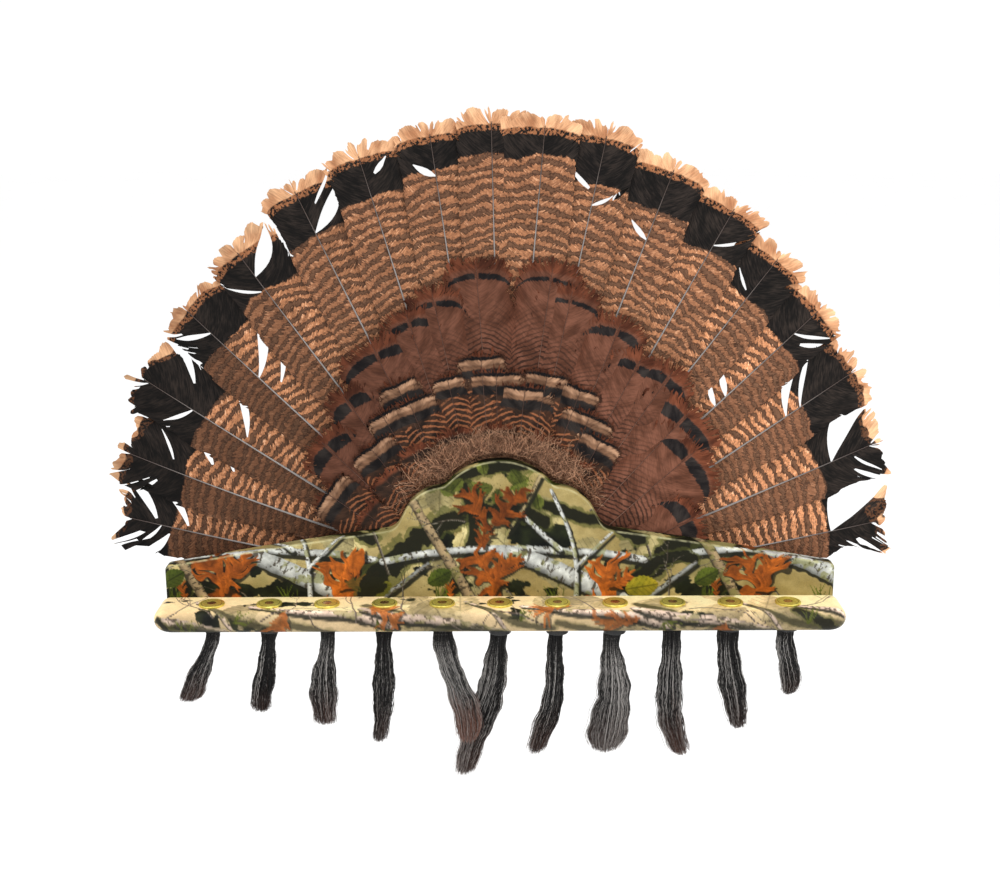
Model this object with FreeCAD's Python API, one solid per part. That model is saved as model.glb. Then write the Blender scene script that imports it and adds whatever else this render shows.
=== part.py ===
import FreeCAD, Part
import math
import os

# A wall plaque that shows a wild turkey's tail fan and eleven beards.  A wooden board with an
# ogee crest carries a bull-nosed shelf.  Eleven 12-gauge shell heads sit in the shelf's bores,
# each on a short hull with a beard glued into it.  The tail is clamped behind the board.
# Frame: X to the right, Y towards the wall, Z up, in millimetres.  The back face of the clamp
# plate is the wall plane y = 0, and z = 0 is the shelf's top face.

# Layers, from the wall outwards
PLATE_T = 12.0
TAIL_GAP = 24.0
BOARD_T = 12.7
SHELF_DEPTH = 44.0
BOARD_BACK = -(PLATE_T + TAIL_GAP)
BOARD_FRONT = BOARD_BACK - BOARD_T

# Board
BOARD_HALF_WIDTH = 299.5
CREST_Z = 125.2
CORNER_R = 5.0
BOARD_EDGE_R = 3.0
OGEE = (("arc", 60.0, -48.0), ("arc", 13.0, 42.0), ("arc", 38.0, -57.0), ("line", 12.0, 0.0),
        ("arc", 16.0, 55.0))    # crest to foot: radius or length, and turn in degrees
WING_R = 4560.0                 # the long, almost straight top edge outside the ogee

# Shelf
SHELF_T = 19.0
SHELF_HALF_LENGTH = 303.5
SHELF_CORNER_R = 18.0
SHELF_NOSE_R = 9.4

# Twelve-gauge shells
SHELL_COUNT = 11
SHELL_PITCH = 50.8
SHELL_SETBACK = 19.0            # row of shells, in front of the board's face
SHELL_Y = BOARD_FRONT - SHELL_SETBACK
BORE_R = 10.3
RIM_R = 11.22
RIM_T = 1.9
GROOVE_T = 1.0
GROOVE_R = 9.7
CUP_R = 10.2
CUP_BOTTOM = -14.0
HULL_R = 9.9
HULL_BORE_R = 9.0
BASE_WAD_T = 6.0
PRIMER_R = 3.1
PRIMER_LENGTH = 7.7
# Hull below the shelf's underside, shell 1 to shell 11
HULL_SHOWING = (3.5, 5.0, 3.5, 3.5, 3.5, 7.5, 7.5, 7.5, 3.5, 5.0, 5.0)

# Beards, shell 1 to shell 11: tip height, sideways lean, forward lean, half-width at the
# widest place, the fraction of the hang where that is, and half-width at the tip
BEARDS = (
    (-92.0, -28.0, 0.0, 10.5, 0.70, 3.5),
    (-102.0, -12.5, 0.0, 9.5, 0.80, 5.5),
    (-115.0, -6.5, 0.0, 12.5, 0.72, 8.5),
    (-132.0, -9.0, 0.0, 9.5, 0.40, 3.5),
    (-128.5, 20.0, -9.0, 12.5, 0.65, 6.5),
    (-170.0, -36.5, 8.0, 14.0, 0.50, 5.0),
    (-144.5, -22.0, 0.0, 10.0, 0.60, 4.5),
    (-142.0, -5.5, 0.0, 19.5, 0.70, 14.5),
    (-146.0, 9.0, 0.0, 11.5, 0.70, 6.0),
    (-120.0, 9.0, 0.0, 11.5, 0.45, 7.0),
    (-87.0, 1.5, 0.0, 9.5, 0.70, 4.0),
)
BEARD_ROOT_R = 8.9
BEARD_HALF_DEPTH = 6.5

# Tail fan, about a centre on the tail's root, which sits a little right of the board's middle
FAN_X = 2.0
FAN_Z = -20.0
QUILL_START = 45.0
QUILL_END = 104.5
QUILL_R = 2.0
VANE_START = 104.0
VANE_T = 0.5
SHAFT_T = 1.0
SHAFT_HALF_WIDTH = 1.7
OUTER_VANE = 29.0
INNER_VANE = 38.0
LAYER_STEP = 0.8                # between one feather and the next, front to back
BACK_LAYER = -14.3
# Feather pair 1 is the middle one: degrees from upright and tip radius, left and right
LEFT_FEATHERS = ((1.0, 443.0), (8.0, 437.0), (16.5, 432.0), (25.0, 424.0), (35.0, 405.0),
                 (45.0, 396.0), (56.0, 388.0), (66.5, 372.0), (76.0, 357.0))
RIGHT_FEATHERS = ((5.0, 441.0), (12.0, 440.0), (20.5, 429.0), (29.0, 421.0), (37.0, 406.0),
                  (45.5, 396.0), (55.0, 386.0), (65.5, 373.0), (77.0, 357.0))

# Coverts: degrees from upright, tip radius and half-width
COVERT_START = 96.0
COVERT_T = 0.4
COVERT_STEP = 0.6
COVERT_LAYER = -30.4
GREATER = ((-46, 228, 26), (-38, 247, 26), (-25, 272, 35), (-16, 292, 26), (-9, 312, 26),
           (-2, 322, 26), (6, 322, 26), (14, 306, 26), (22, 292, 26), (29, 270, 24),
           (34, 262, 24), (43, 248, 34), (52, 228, 34), (63, 192, 26))
MEDIAN = ((-57, 197, 18), (-49, 198, 18), (-40, 196, 18), (-33, 200, 17), (-26, 213, 18),
          (-17, 216, 18), (-9, 228, 18), (-1, 232, 18), (6, 222, 17), (13, 216, 17),
          (20, 204, 17), (27, 200, 16), (33, 184, 16))
LESSER = ((-52, 170, 18), (-40, 172, 18), (-27, 182, 19), (-14, 185, 19), (0, 188, 19),
          (13, 184, 19), (26, 172, 18))
TUFT_INNER_R = 96.0
TUFT_OUTER_R = 162.0
TUFT_ANGLES = (-40.0, 35.0)
TUFT_T = 0.9
TUFT_LAYER = -35.1

# Tail root
ROOT_R = 72.0
ROOT_BOTTOM = -14.0
ROOT_EDGE_R = 4.0
SOCKET_CLEARANCE = 0.05

# Clamp plate and what fastens it
PLATE_HALF_WIDTH = 100.0
PLATE_BOTTOM = -16.0
PLATE_TOP = 76.0
PLATE_CORNER_R = 10.0
CLAMP_SCREWS_AT = ((-18.0, -4.0), (18.0, -4.0), (0.0, 12.0))
CLAMP_SCREW_LENGTH = 46.0
SCREW_R = 2.1
SCREW_HEAD_R = 4.2

# Keyhole hangers, in the clamp plate's back
KEYHOLE_X = 70.0
KEYHOLE_Z = 42.0
HANGER_HALF_LENGTH = 22.0
HANGER_HALF_WIDTH = 7.5
HANGER_T = 2.0
KEYHOLE_R = 5.0
KEYHOLE_SLOT_R = 2.5
KEYHOLE_DROP = 5.0              # keyhole centre, below the hanger's centre
KEYHOLE_SLOT_LENGTH = 13.0
POCKET = (14.0, 8.0, 26.0)
HANGER_SCREW_OFFSET = 17.0
HANGER_SCREW_R = 1.5
HANGER_SCREW_HEAD_R = 3.0
HANGER_SCREW_LENGTH = 10.0

# Spacer blocks, which keep the board's ends off the wall
BLOCK_X = 190.0
BLOCK_WIDTH = 60.0
BLOCK_HEIGHT = 15.0
BLOCK_SCREW_OFFSET = 18.0
BLOCK_SCREW_LENGTH = 45.0

SHELF_SCREW_GAPS = (-4.5, -2.5, -0.5, 0.5, 2.5, 4.5)    # in shell pitches from the middle
SHELF_SCREW_LENGTH = 34.7

X = FreeCAD.Vector(1, 0, 0)
Y = FreeCAD.Vector(0, 1, 0)
Z = FreeCAD.Vector(0, 0, 1)
ORIGIN = FreeCAD.Vector(0, 0, 0)


def vec(x, y, z):
    return FreeCAD.Vector(x, y, z)


def box(low, high):
    """A box from its lowest to its highest corner."""
    size = [b - a for a, b in zip(low, high)]
    return Part.makeBox(size[0], size[1], size[2], vec(*low))


def face_extruded(edges, travel):
    return Part.Face(Part.Wire(Part.__sortEdges__(edges))).extrude(travel)


def spline_face(points):
    """A face inside one smooth closed curve."""
    curve = Part.BSplineCurve()
    curve.interpolate(Points=points, PeriodicFlag=True)
    return Part.Face(Part.Wire(curve.toShape()))


def lathe(profile):
    """A solid turned about Z from (radius, z) points."""
    points = [vec(r, 0, z) for r, z in profile]
    wire = Part.makePolygon(points + [points[0]])
    return Part.Face(wire).revolve(ORIGIN, Z, 360)


def mirrored(shape):
    return shape.mirror(ORIGIN, X)


def save(name, *solids):
    """Writes one sub-part: a single solid, or a group of separate ones."""
    shape = solids[0] if len(solids) == 1 else Part.makeCompound(list(solids))
    shape.exportStep(f"parts/{name}.step")


# ---------------------------------------------------------------- wooden parts

def arc_edge(start, heading, radius, turn):
    """An arc in the XZ plane that leaves start along heading and turns by turn degrees."""
    side = 1 if turn > 0 else -1
    to_centre = math.radians(heading + 90 * side)
    centre = start + radius * vec(math.cos(to_centre), 0, math.sin(to_centre))

    def on_arc(part):
        angle = math.radians(heading + turn * part - 90 * side)
        return centre + radius * vec(math.cos(angle), 0, math.sin(angle))

    return Part.Arc(start, on_arc(0.5), on_arc(1.0)).toShape(), on_arc(1.0)


def board_top_edges():
    """The right half of the board's top outline, from the crest to the side."""
    edges = []
    point, heading = vec(0, 0, CREST_Z), 0.0
    for kind, size, turn in OGEE:
        if kind == "arc":
            edge, end = arc_edge(point, heading, size, turn)
        else:
            along = math.radians(heading)
            end = point + size * vec(math.cos(along), 0, math.sin(along))
            edge = Part.LineSegment(point, end).toShape()
        edges.append(edge)
        point, heading = end, heading + turn
    run = BOARD_HALF_WIDTH - CORNER_R - point.x
    slope = math.sin(math.radians(-heading))
    wing_turn = -heading - math.degrees(math.asin(slope + run / WING_R))
    edge, point = arc_edge(point, heading, WING_R, wing_turn)
    edges.append(edge)
    heading += wing_turn
    edge, point = arc_edge(point, heading, CORNER_R, -90 - heading)
    edges.append(edge)
    return edges, point


def front_board():
    right, corner = board_top_edges()
    left = [mirrored(edge) for edge in right]
    foot = vec(corner.x, 0, -SHELF_T)
    opposite = vec(-corner.x, 0, -SHELF_T)
    sides = [Part.LineSegment(corner, foot).toShape(),
             Part.LineSegment(foot, opposite).toShape(),
             Part.LineSegment(opposite, vec(-corner.x, 0, corner.z)).toShape()]
    board = face_extruded(right + left + sides, vec(0, -BOARD_T, 0))
    board.translate(vec(0, BOARD_BACK, 0))
    front = [edge for edge in board.Edges
             if abs(edge.BoundBox.YMin - BOARD_FRONT) < 0.01 and edge.BoundBox.YLength < 0.01
             and edge.BoundBox.ZMax > CORNER_R]
    board = board.makeFillet(BOARD_EDGE_R, front)
    for screw in shelf_screws() + clamp_screws() + block_screws():
        board = board.cut(screw)
    return board


def shelf():
    front = BOARD_FRONT - SHELF_DEPTH
    half = SHELF_HALF_LENGTH
    corner = front + SHELF_CORNER_R
    diagonal = SHELF_CORNER_R * (1 - math.sqrt(0.5))
    flat = half - SHELF_CORNER_R
    edges = [Part.LineSegment(vec(-half, BOARD_FRONT, 0), vec(half, BOARD_FRONT, 0)),
             Part.LineSegment(vec(half, BOARD_FRONT, 0), vec(half, corner, 0)),
             Part.Arc(vec(half, corner, 0), vec(half - diagonal, front + diagonal, 0),
                      vec(flat, front, 0)),
             Part.LineSegment(vec(flat, front, 0), vec(-flat, front, 0)),
             Part.Arc(vec(-flat, front, 0), vec(diagonal - half, front + diagonal, 0),
                      vec(-half, corner, 0)),
             Part.LineSegment(vec(-half, corner, 0), vec(-half, BOARD_FRONT, 0))]
    slab = face_extruded([edge.toShape() for edge in edges], vec(0, 0, -SHELF_T))
    nose = [edge for edge in slab.Edges
            if edge.BoundBox.ZLength < 0.01 and edge.BoundBox.YMin < BOARD_FRONT - 1]
    slab = slab.makeFillet(SHELF_NOSE_R, nose)
    for x in shell_row():
        slab = slab.cut(Part.makeCylinder(BORE_R, SHELF_T + 2, vec(x, SHELL_Y, -SHELF_T - 1)))
    for screw in shelf_screws():
        slab = slab.cut(screw)
    return slab


def clamp_plate():
    plate = box((-PLATE_HALF_WIDTH, -PLATE_T, PLATE_BOTTOM), (PLATE_HALF_WIDTH, 0, PLATE_TOP))
    corners = [edge for edge in plate.Edges if edge.BoundBox.YLength > PLATE_T - 0.1]
    plate = plate.makeFillet(PLATE_CORNER_R, corners)
    for screw in clamp_screws() + hanger_screws():
        plate = plate.cut(screw)
    width, depth, height = POCKET
    for x in (-KEYHOLE_X, KEYHOLE_X):
        plate = plate.cut(hanger_blank(x))
        plate = plate.cut(box((x - width / 2, -HANGER_T - depth, KEYHOLE_Z - height / 2),
                              (x + width / 2, 0, KEYHOLE_Z + height / 2)))
    return plate


def spacer_blocks():
    blocks = []
    for side in (-1, 1):
        x = side * BLOCK_X
        block = box((x - BLOCK_WIDTH / 2, BOARD_BACK, -SHELF_T),
                    (x + BLOCK_WIDTH / 2, 0, BLOCK_HEIGHT - SHELF_T))
        for screw in block_screws():
            block = block.cut(screw)
        blocks.append(block)
    return blocks


# ---------------------------------------------------------------- fasteners and hangers

def wood_screw(x, y, z, length, radius, head_radius):
    """A countersunk screw with its head's face at y, driven towards the front."""
    head = head_radius - radius
    screw = lathe(((0, 0), (head_radius, 0), (radius, head), (radius, length - 2 * radius),
                   (0, length)))
    screw.rotate(ORIGIN, X, 90)
    screw.translate(vec(x, y, z))
    return screw


def clamp_screws():
    return [wood_screw(x, 0, z, CLAMP_SCREW_LENGTH, SCREW_R, SCREW_HEAD_R)
            for x, z in CLAMP_SCREWS_AT]


def block_screws():
    z = BLOCK_HEIGHT / 2 - SHELF_T
    return [wood_screw(side * BLOCK_X + offset, 0, z, BLOCK_SCREW_LENGTH, SCREW_R, SCREW_HEAD_R)
            for side in (-1, 1) for offset in (-BLOCK_SCREW_OFFSET, BLOCK_SCREW_OFFSET)]


def shelf_screws():
    return [wood_screw(gap * SHELL_PITCH, BOARD_BACK, -SHELF_T / 2, SHELF_SCREW_LENGTH, SCREW_R,
                       SCREW_HEAD_R) for gap in SHELF_SCREW_GAPS]


def hanger_screws():
    return [wood_screw(x, 0, KEYHOLE_Z + offset, HANGER_SCREW_LENGTH, HANGER_SCREW_R,
                       HANGER_SCREW_HEAD_R)
            for x in (-KEYHOLE_X, KEYHOLE_X)
            for offset in (-HANGER_SCREW_OFFSET, HANGER_SCREW_OFFSET)]


def hanger_blank(x):
    """A round-ended strip that lies flush in the plate's back face."""
    straight = HANGER_HALF_LENGTH - HANGER_HALF_WIDTH
    blank = box((x - HANGER_HALF_WIDTH, -HANGER_T, KEYHOLE_Z - straight),
                (x + HANGER_HALF_WIDTH, 0, KEYHOLE_Z + straight))
    for end in (-straight, straight):
        blank = blank.fuse(Part.makeCylinder(HANGER_HALF_WIDTH, HANGER_T,
                                             vec(x, -HANGER_T, KEYHOLE_Z + end), Y))
    return blank.removeSplitter()


def keyhole_plate(x):
    plate = hanger_blank(x)
    hole_z = KEYHOLE_Z - KEYHOLE_DROP
    through = HANGER_T + 2
    plate = plate.cut(Part.makeCylinder(KEYHOLE_R, through, vec(x, -HANGER_T - 1, hole_z), Y))
    slot_top = hole_z + KEYHOLE_SLOT_LENGTH
    plate = plate.cut(box((x - KEYHOLE_SLOT_R, -HANGER_T - 1, hole_z),
                          (x + KEYHOLE_SLOT_R, 1, slot_top)))
    plate = plate.cut(Part.makeCylinder(KEYHOLE_SLOT_R, through,
                                        vec(x, -HANGER_T - 1, slot_top), Y))
    for screw in hanger_screws():
        plate = plate.cut(screw)
    return plate


# ---------------------------------------------------------------- shells and beards

def shell_row():
    middle = (SHELL_COUNT - 1) / 2
    return [(number - middle) * SHELL_PITCH for number in range(SHELL_COUNT)]


def brass_head():
    """The drawn brass head, with its rim, extractor groove and cup, and the primer in it."""
    cup = lathe(((PRIMER_R, RIM_T), (RIM_R, RIM_T), (RIM_R, 0), (GROOVE_R + 0.3, 0),
                 (GROOVE_R + 0.3, -GROOVE_T), (CUP_R, -GROOVE_T - 0.5), (CUP_R, CUP_BOTTOM),
                 (HULL_R, CUP_BOTTOM), (HULL_R, -GROOVE_T - 0.2), (GROOVE_R, -GROOVE_T),
                 (GROOVE_R, 0), (PRIMER_R, 0)))
    primer = Part.makeCylinder(PRIMER_R, PRIMER_LENGTH, vec(0, 0, RIM_T - PRIMER_LENGTH))
    return [cup, primer]


def hull(showing):
    """The plastic hull with its base wad, open below for the beard."""
    bottom = -SHELF_T - showing
    wad = -BASE_WAD_T
    return lathe(((PRIMER_R, 0), (GROOVE_R, 0), (GROOVE_R, -GROOVE_T), (HULL_R, -GROOVE_T - 0.2),
                  (HULL_R, bottom), (HULL_BORE_R, bottom), (HULL_BORE_R, wad), (PRIMER_R, wad)))


def oval(centre, half_width, half_depth):
    points = []
    for step in range(12):
        angle = math.radians(30 * step)
        points.append(centre + vec(half_width * math.cos(angle), half_depth * math.sin(angle), 0))
    curve = Part.BSplineCurve()
    curve.interpolate(Points=points, PeriodicFlag=True)
    return Part.Wire(curve.toShape())


def beard(showing, tip_z, lean, forward, belly, belly_part, tip):
    """A beard's envelope: round where it is glued into the hull, then an oval tapering tress."""
    top = -SHELF_T - showing
    sections = [oval(vec(0, 0, -BASE_WAD_T - 2), BEARD_ROOT_R, BEARD_ROOT_R),
                oval(vec(0, 0, top), BEARD_ROOT_R, BEARD_ROOT_R)]
    for part in (0.15, belly_part / 2, belly_part, (1 + belly_part) / 2, 1.0):
        if part <= belly_part:
            width = BEARD_ROOT_R * 0.75 + (belly - BEARD_ROOT_R * 0.75) * part / belly_part
        else:
            width = belly + (tip - belly) * (part - belly_part) / (1 - belly_part)
        centre = vec(lean * part ** 1.5, forward * min(1, part * 2), top + (tip_z - top) * part)
        sections.append(oval(centre, width, min(width, BEARD_HALF_DEPTH)))
    return Part.makeLoft(sections, True, True)


def save_shells():
    for number, x in enumerate(shell_row()):
        place = vec(x, SHELL_Y, 0)
        showing = HULL_SHOWING[number]
        label = f"{number + 1:02d}"
        pieces = {"brass_head_" + label: brass_head(), "hull_" + label: [hull(showing)],
                  "beard_" + label: [beard(showing, *BEARDS[number])]}
        for name, solids in pieces.items():
            for solid in solids:
                solid.translate(place)
            save(name, *solids)


# ---------------------------------------------------------------- tail

def in_fan(shape, angle, layer):
    """Turns an upright shape to its angle about the fan's centre and moves it to its layer."""
    shape.rotate(ORIGIN, Y, angle)
    shape.translate(vec(FAN_X, layer, FAN_Z))
    return shape


def vane(start, tip, left, right, thickness):
    """A flat feather blade along Z, with its half-width to the left and to the right."""
    length = tip - start
    widths = ((0.12, 0.30), (0.35, 0.62), (0.60, 0.86), (0.82, 1.0), (0.97, 0.80))
    points = [vec(0, 0, start)]
    points += [vec(right * wide, 0, start + length * along) for along, wide in widths]
    points += [vec(0, 0, tip)]
    points += [vec(-left * wide, 0, start + length * along) for along, wide in reversed(widths)]
    blade = spline_face(points).extrude(vec(0, thickness, 0))
    blade.translate(vec(0, -thickness / 2, 0))
    return blade


def shaft(tip):
    """The tapering shaft of a tail feather."""
    wide, thin = SHAFT_HALF_WIDTH, SHAFT_HALF_WIDTH * 0.25
    start, end = QUILL_END - 4, tip - 12
    outline = Part.makePolygon([vec(-wide, 0, start), vec(wide, 0, start), vec(thin, 0, end),
                                vec(-thin, 0, end), vec(-wide, 0, start)])
    bar = Part.Face(outline).extrude(vec(0, SHAFT_T, 0))
    bar.translate(vec(0, -SHAFT_T / 2, 0))
    return bar


def tail_feather(side, angle, tip, layer):
    """Side is -1 for a left feather and 1 for a right one."""
    outer, inner = OUTER_VANE, INNER_VANE
    left, right = (outer, inner) if side < 0 else (inner, outer)
    blade = vane(VANE_START, tip, left, right, VANE_T)
    quill = Part.makeCylinder(QUILL_R, QUILL_END - QUILL_START, vec(0, 0, QUILL_START))
    feather = blade.fuse([shaft(tip), quill]).removeSplitter()
    return in_fan(feather, side * angle, layer)


def tail_feather_pairs():
    """The nine pairs, the middle one in front, each feather in a layer of its own."""
    count = len(LEFT_FEATHERS)
    pairs = []
    for number in range(count):
        layer = BACK_LAYER - LAYER_STEP * 2 * (count - 1 - number)
        left = tail_feather(-1, *LEFT_FEATHERS[number], layer)
        right = tail_feather(1, *RIGHT_FEATHERS[number], layer - LAYER_STEP)
        pairs.append([left, right])
    return pairs


def coverts(row, first_layer, layers):
    """A row of covert feathers, shingled over a few layers."""
    solids = []
    for number, (angle, tip, half_width) in enumerate(row):
        blade = vane(COVERT_START, tip, half_width, half_width, COVERT_T)
        solids.append(in_fan(blade, angle, first_layer - COVERT_STEP * (number % layers)))
    return solids


def sector(inner, outer, angles, thickness):
    """A plate between two radii and two angles from upright."""
    def at(radius, angle):
        turn = math.radians(angle)
        return vec(radius * math.sin(turn), 0, radius * math.cos(turn))

    first, last = angles
    middle = (first + last) / 2
    edges = [Part.Arc(at(outer, first), at(outer, middle), at(outer, last)),
             Part.LineSegment(at(outer, last), at(inner, last)),
             Part.Arc(at(inner, last), at(inner, middle), at(inner, first)),
             Part.LineSegment(at(inner, first), at(outer, first))]
    plate = face_extruded([edge.toShape() for edge in edges], vec(0, thickness, 0))
    plate.translate(vec(0, -thickness / 2, 0))
    return plate


def down_tuft():
    return in_fan(sector(TUFT_INNER_R, TUFT_OUTER_R, TUFT_ANGLES, TUFT_T), 0, TUFT_LAYER)


def tail_root():
    """The dried root of the tail, with a socket for every quill."""
    disc = Part.makeCylinder(ROOT_R, TAIL_GAP, vec(FAN_X, BOARD_BACK, FAN_Z), Y)
    root = disc.common(box((-ROOT_R, BOARD_BACK, ROOT_BOTTOM), (ROOT_R + FAN_X, -PLATE_T, ROOT_R)))
    rims = [edge for edge in root.Edges
            if edge.BoundBox.YLength < 0.01 and edge.BoundBox.ZLength > ROOT_R / 2]
    root = root.makeFillet(ROOT_EDGE_R, rims)
    count = len(LEFT_FEATHERS)
    for number in range(count):
        layer = BACK_LAYER - LAYER_STEP * 2 * (count - 1 - number)
        for angle, y in ((-LEFT_FEATHERS[number][0], layer),
                         (RIGHT_FEATHERS[number][0], layer - LAYER_STEP)):
            socket = Part.makeCylinder(QUILL_R + SOCKET_CLEARANCE, ROOT_R,
                                       vec(0, 0, QUILL_START - SOCKET_CLEARANCE))
            root = root.cut(in_fan(socket, angle, y))
    for screw in clamp_screws():
        root = root.cut(screw)
    return root


def save_tail():
    for number, pair in enumerate(tail_feather_pairs()):
        save(f"tail_feathers_{number + 1}", *pair)
    median_layer = COVERT_LAYER - 3 * COVERT_STEP
    lesser_layer = median_layer - 2 * COVERT_STEP
    save("greater_coverts", *coverts(GREATER, COVERT_LAYER, 3))
    save("median_coverts", *coverts(MEDIAN, median_layer, 2))
    save("lesser_coverts", *coverts(LESSER, lesser_layer, 2))
    save("down_tuft", down_tuft())
    save("tail_root", tail_root())


def main():
    os.makedirs("parts", exist_ok=True)
    save("front_board", front_board())
    save("shelf", shelf())
    save("clamp_plate", clamp_plate())
    save("spacer_blocks", *spacer_blocks())
    save("keyhole_plates", keyhole_plate(-KEYHOLE_X), keyhole_plate(KEYHOLE_X))
    save("clamp_screws", *clamp_screws())
    save("shelf_screws", *shelf_screws())
    save("block_screws", *block_screws())
    save("keyhole_screws", *hanger_screws())
    save_shells()
    save_tail()


main()
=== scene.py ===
import math

import bmesh
import bpy
import numpy as np
from mathutils import Matrix, Vector


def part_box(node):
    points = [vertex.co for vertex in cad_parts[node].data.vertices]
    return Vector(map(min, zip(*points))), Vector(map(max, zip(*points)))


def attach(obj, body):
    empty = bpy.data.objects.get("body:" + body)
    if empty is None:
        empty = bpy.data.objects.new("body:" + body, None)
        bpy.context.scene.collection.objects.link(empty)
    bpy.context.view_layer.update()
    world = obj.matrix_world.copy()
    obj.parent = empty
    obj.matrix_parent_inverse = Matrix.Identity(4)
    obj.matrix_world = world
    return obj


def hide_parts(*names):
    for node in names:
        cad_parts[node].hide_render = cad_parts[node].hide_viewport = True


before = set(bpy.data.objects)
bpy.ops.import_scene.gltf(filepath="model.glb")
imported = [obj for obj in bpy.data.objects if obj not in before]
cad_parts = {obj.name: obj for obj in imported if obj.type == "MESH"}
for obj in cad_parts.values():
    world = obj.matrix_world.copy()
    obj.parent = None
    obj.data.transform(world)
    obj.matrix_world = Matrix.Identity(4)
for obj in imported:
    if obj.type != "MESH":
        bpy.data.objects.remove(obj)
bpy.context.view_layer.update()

# The looks of the turkey fan and beard wall display, around its CAD frame.  Lengths below are
# in millimetres unless a name says otherwise, and turn into metres when a mesh is made.

MM = 0.001


def box_mm(node):
    """A node's lowest and highest corners in millimetres."""
    low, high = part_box(node)
    return np.array(low) / MM, np.array(high) / MM


BOARD_LOW, BOARD_HIGH = box_mm("front_board")
SHELF_LOW, SHELF_HIGH = box_mm("shelf")
BOARD_FRONT = BOARD_LOW[1]
BOARD_BACK = BOARD_HIGH[1]
SHELLS = [f"{number:02d}" for number in range(1, 12)]


# ------------------------------------------------------------------ small tools

def smooth(x):
    """Ease from 0 to 1."""
    x = np.clip(x, 0, 1)
    return x * x * (3 - 2 * x)


def linear(colour):
    """sRGB from 0 to 1 as linear light."""
    colour = np.asarray(colour, float)
    return np.where(colour <= 0.04045, colour / 12.92, ((colour + 0.055) / 1.055) ** 2.4)


def paint(red, green, blue):
    """A node colour from sRGB numbers, 0 to 255."""
    return (*[float(c) for c in linear(np.array([red, green, blue]) / 255)], 1.0)


NOISE_SIZE = 256
NOISE_TABLES = {}


def value_noise(x, y, seed):
    """Smooth noise from 0 to 1 with one feature per unit."""
    if seed not in NOISE_TABLES:
        NOISE_TABLES[seed] = np.random.default_rng(seed).random((NOISE_SIZE, NOISE_SIZE))
    table = NOISE_TABLES[seed]
    column, row = np.floor(x).astype(int), np.floor(y).astype(int)
    fx, fy = smooth(x - column), smooth(y - row)
    c0, c1 = column % NOISE_SIZE, (column + 1) % NOISE_SIZE
    r0, r1 = row % NOISE_SIZE, (row + 1) % NOISE_SIZE
    low = table[r0, c0] * (1 - fx) + table[r0, c1] * fx
    high = table[r1, c0] * (1 - fx) + table[r1, c1] * fx
    return low * (1 - fy) + high * fy


def cloud(x, y, seed, octaves=4):
    """Several octaves of noise, about 0 to 1 and 0.5 on average."""
    total, weight = 0.0, 0.0
    for octave in range(octaves):
        scale, part = 2.0 ** octave, 0.5 ** octave
        total = total + part * value_noise(x * scale + 17.3 * octave, y * scale, seed + octave)
        weight += part
    return total / weight


def weld(points, faces, grain):
    """Joins points that lie in the same grain, so that grids with a common edge share it, and
    leaves out the quads that this closes up."""
    keys = np.round(points / grain).astype(np.int64)
    _, first, index = np.unique(keys, axis=0, return_index=True, return_inverse=True)
    faces = index.ravel()[faces]
    whole = faces[:, 0] != faces[:, 2]
    for corner in range(4):
        whole &= faces[:, corner] != faces[:, (corner + 1) % 4]
    return points[first], faces[whole]


def colour_points(mesh, key, colours):
    """Stores a linear colour for each of a mesh's points."""
    layer = mesh.color_attributes.new(key, "FLOAT_COLOR", "POINT")
    rgba = np.concatenate([colours, np.ones((len(colours), 1))], axis=1)
    layer.data.foreach_set("color", rgba.ravel())


def make_piece(name, points, faces, materials, body, nodes, attributes=None,
               face_material=None):
    """A mesh object from points in millimetres, riding a body and standing for CAD nodes."""
    mesh = bpy.data.meshes.new(name)
    points = np.asarray(points, float) * MM
    mesh.from_pydata(points.tolist(), [], [list(map(int, face)) for face in faces])
    mesh.update()
    for key, values in (attributes or {}).items():
        values = np.asarray(values, float)
        if key.startswith("colour"):
            colour_points(mesh, key, values)
        elif values.ndim == 2:
            layer = mesh.attributes.new(key, "FLOAT_VECTOR", "POINT")
            layer.data.foreach_set("vector", values.ravel())
        else:
            layer = mesh.attributes.new(key, "FLOAT", "POINT")
            layer.data.foreach_set("value", values)
    for material in materials:
        mesh.materials.append(material)
    if face_material is not None:
        mesh.polygons.foreach_set("material_index", np.asarray(face_material, dtype=np.int32))
    mesh.polygons.foreach_set("use_smooth", np.ones(len(mesh.polygons), bool))
    mesh.update()
    return finish_piece(bpy.data.objects.new(name, mesh), body, nodes)


def finish_piece(piece, body, nodes):
    """Puts a piece in the scene, on its body and in place of CAD nodes."""
    bpy.context.scene.collection.objects.link(piece)
    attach(piece, body)
    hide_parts(*nodes)
    return piece


# ------------------------------------------------------------------ materials

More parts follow.
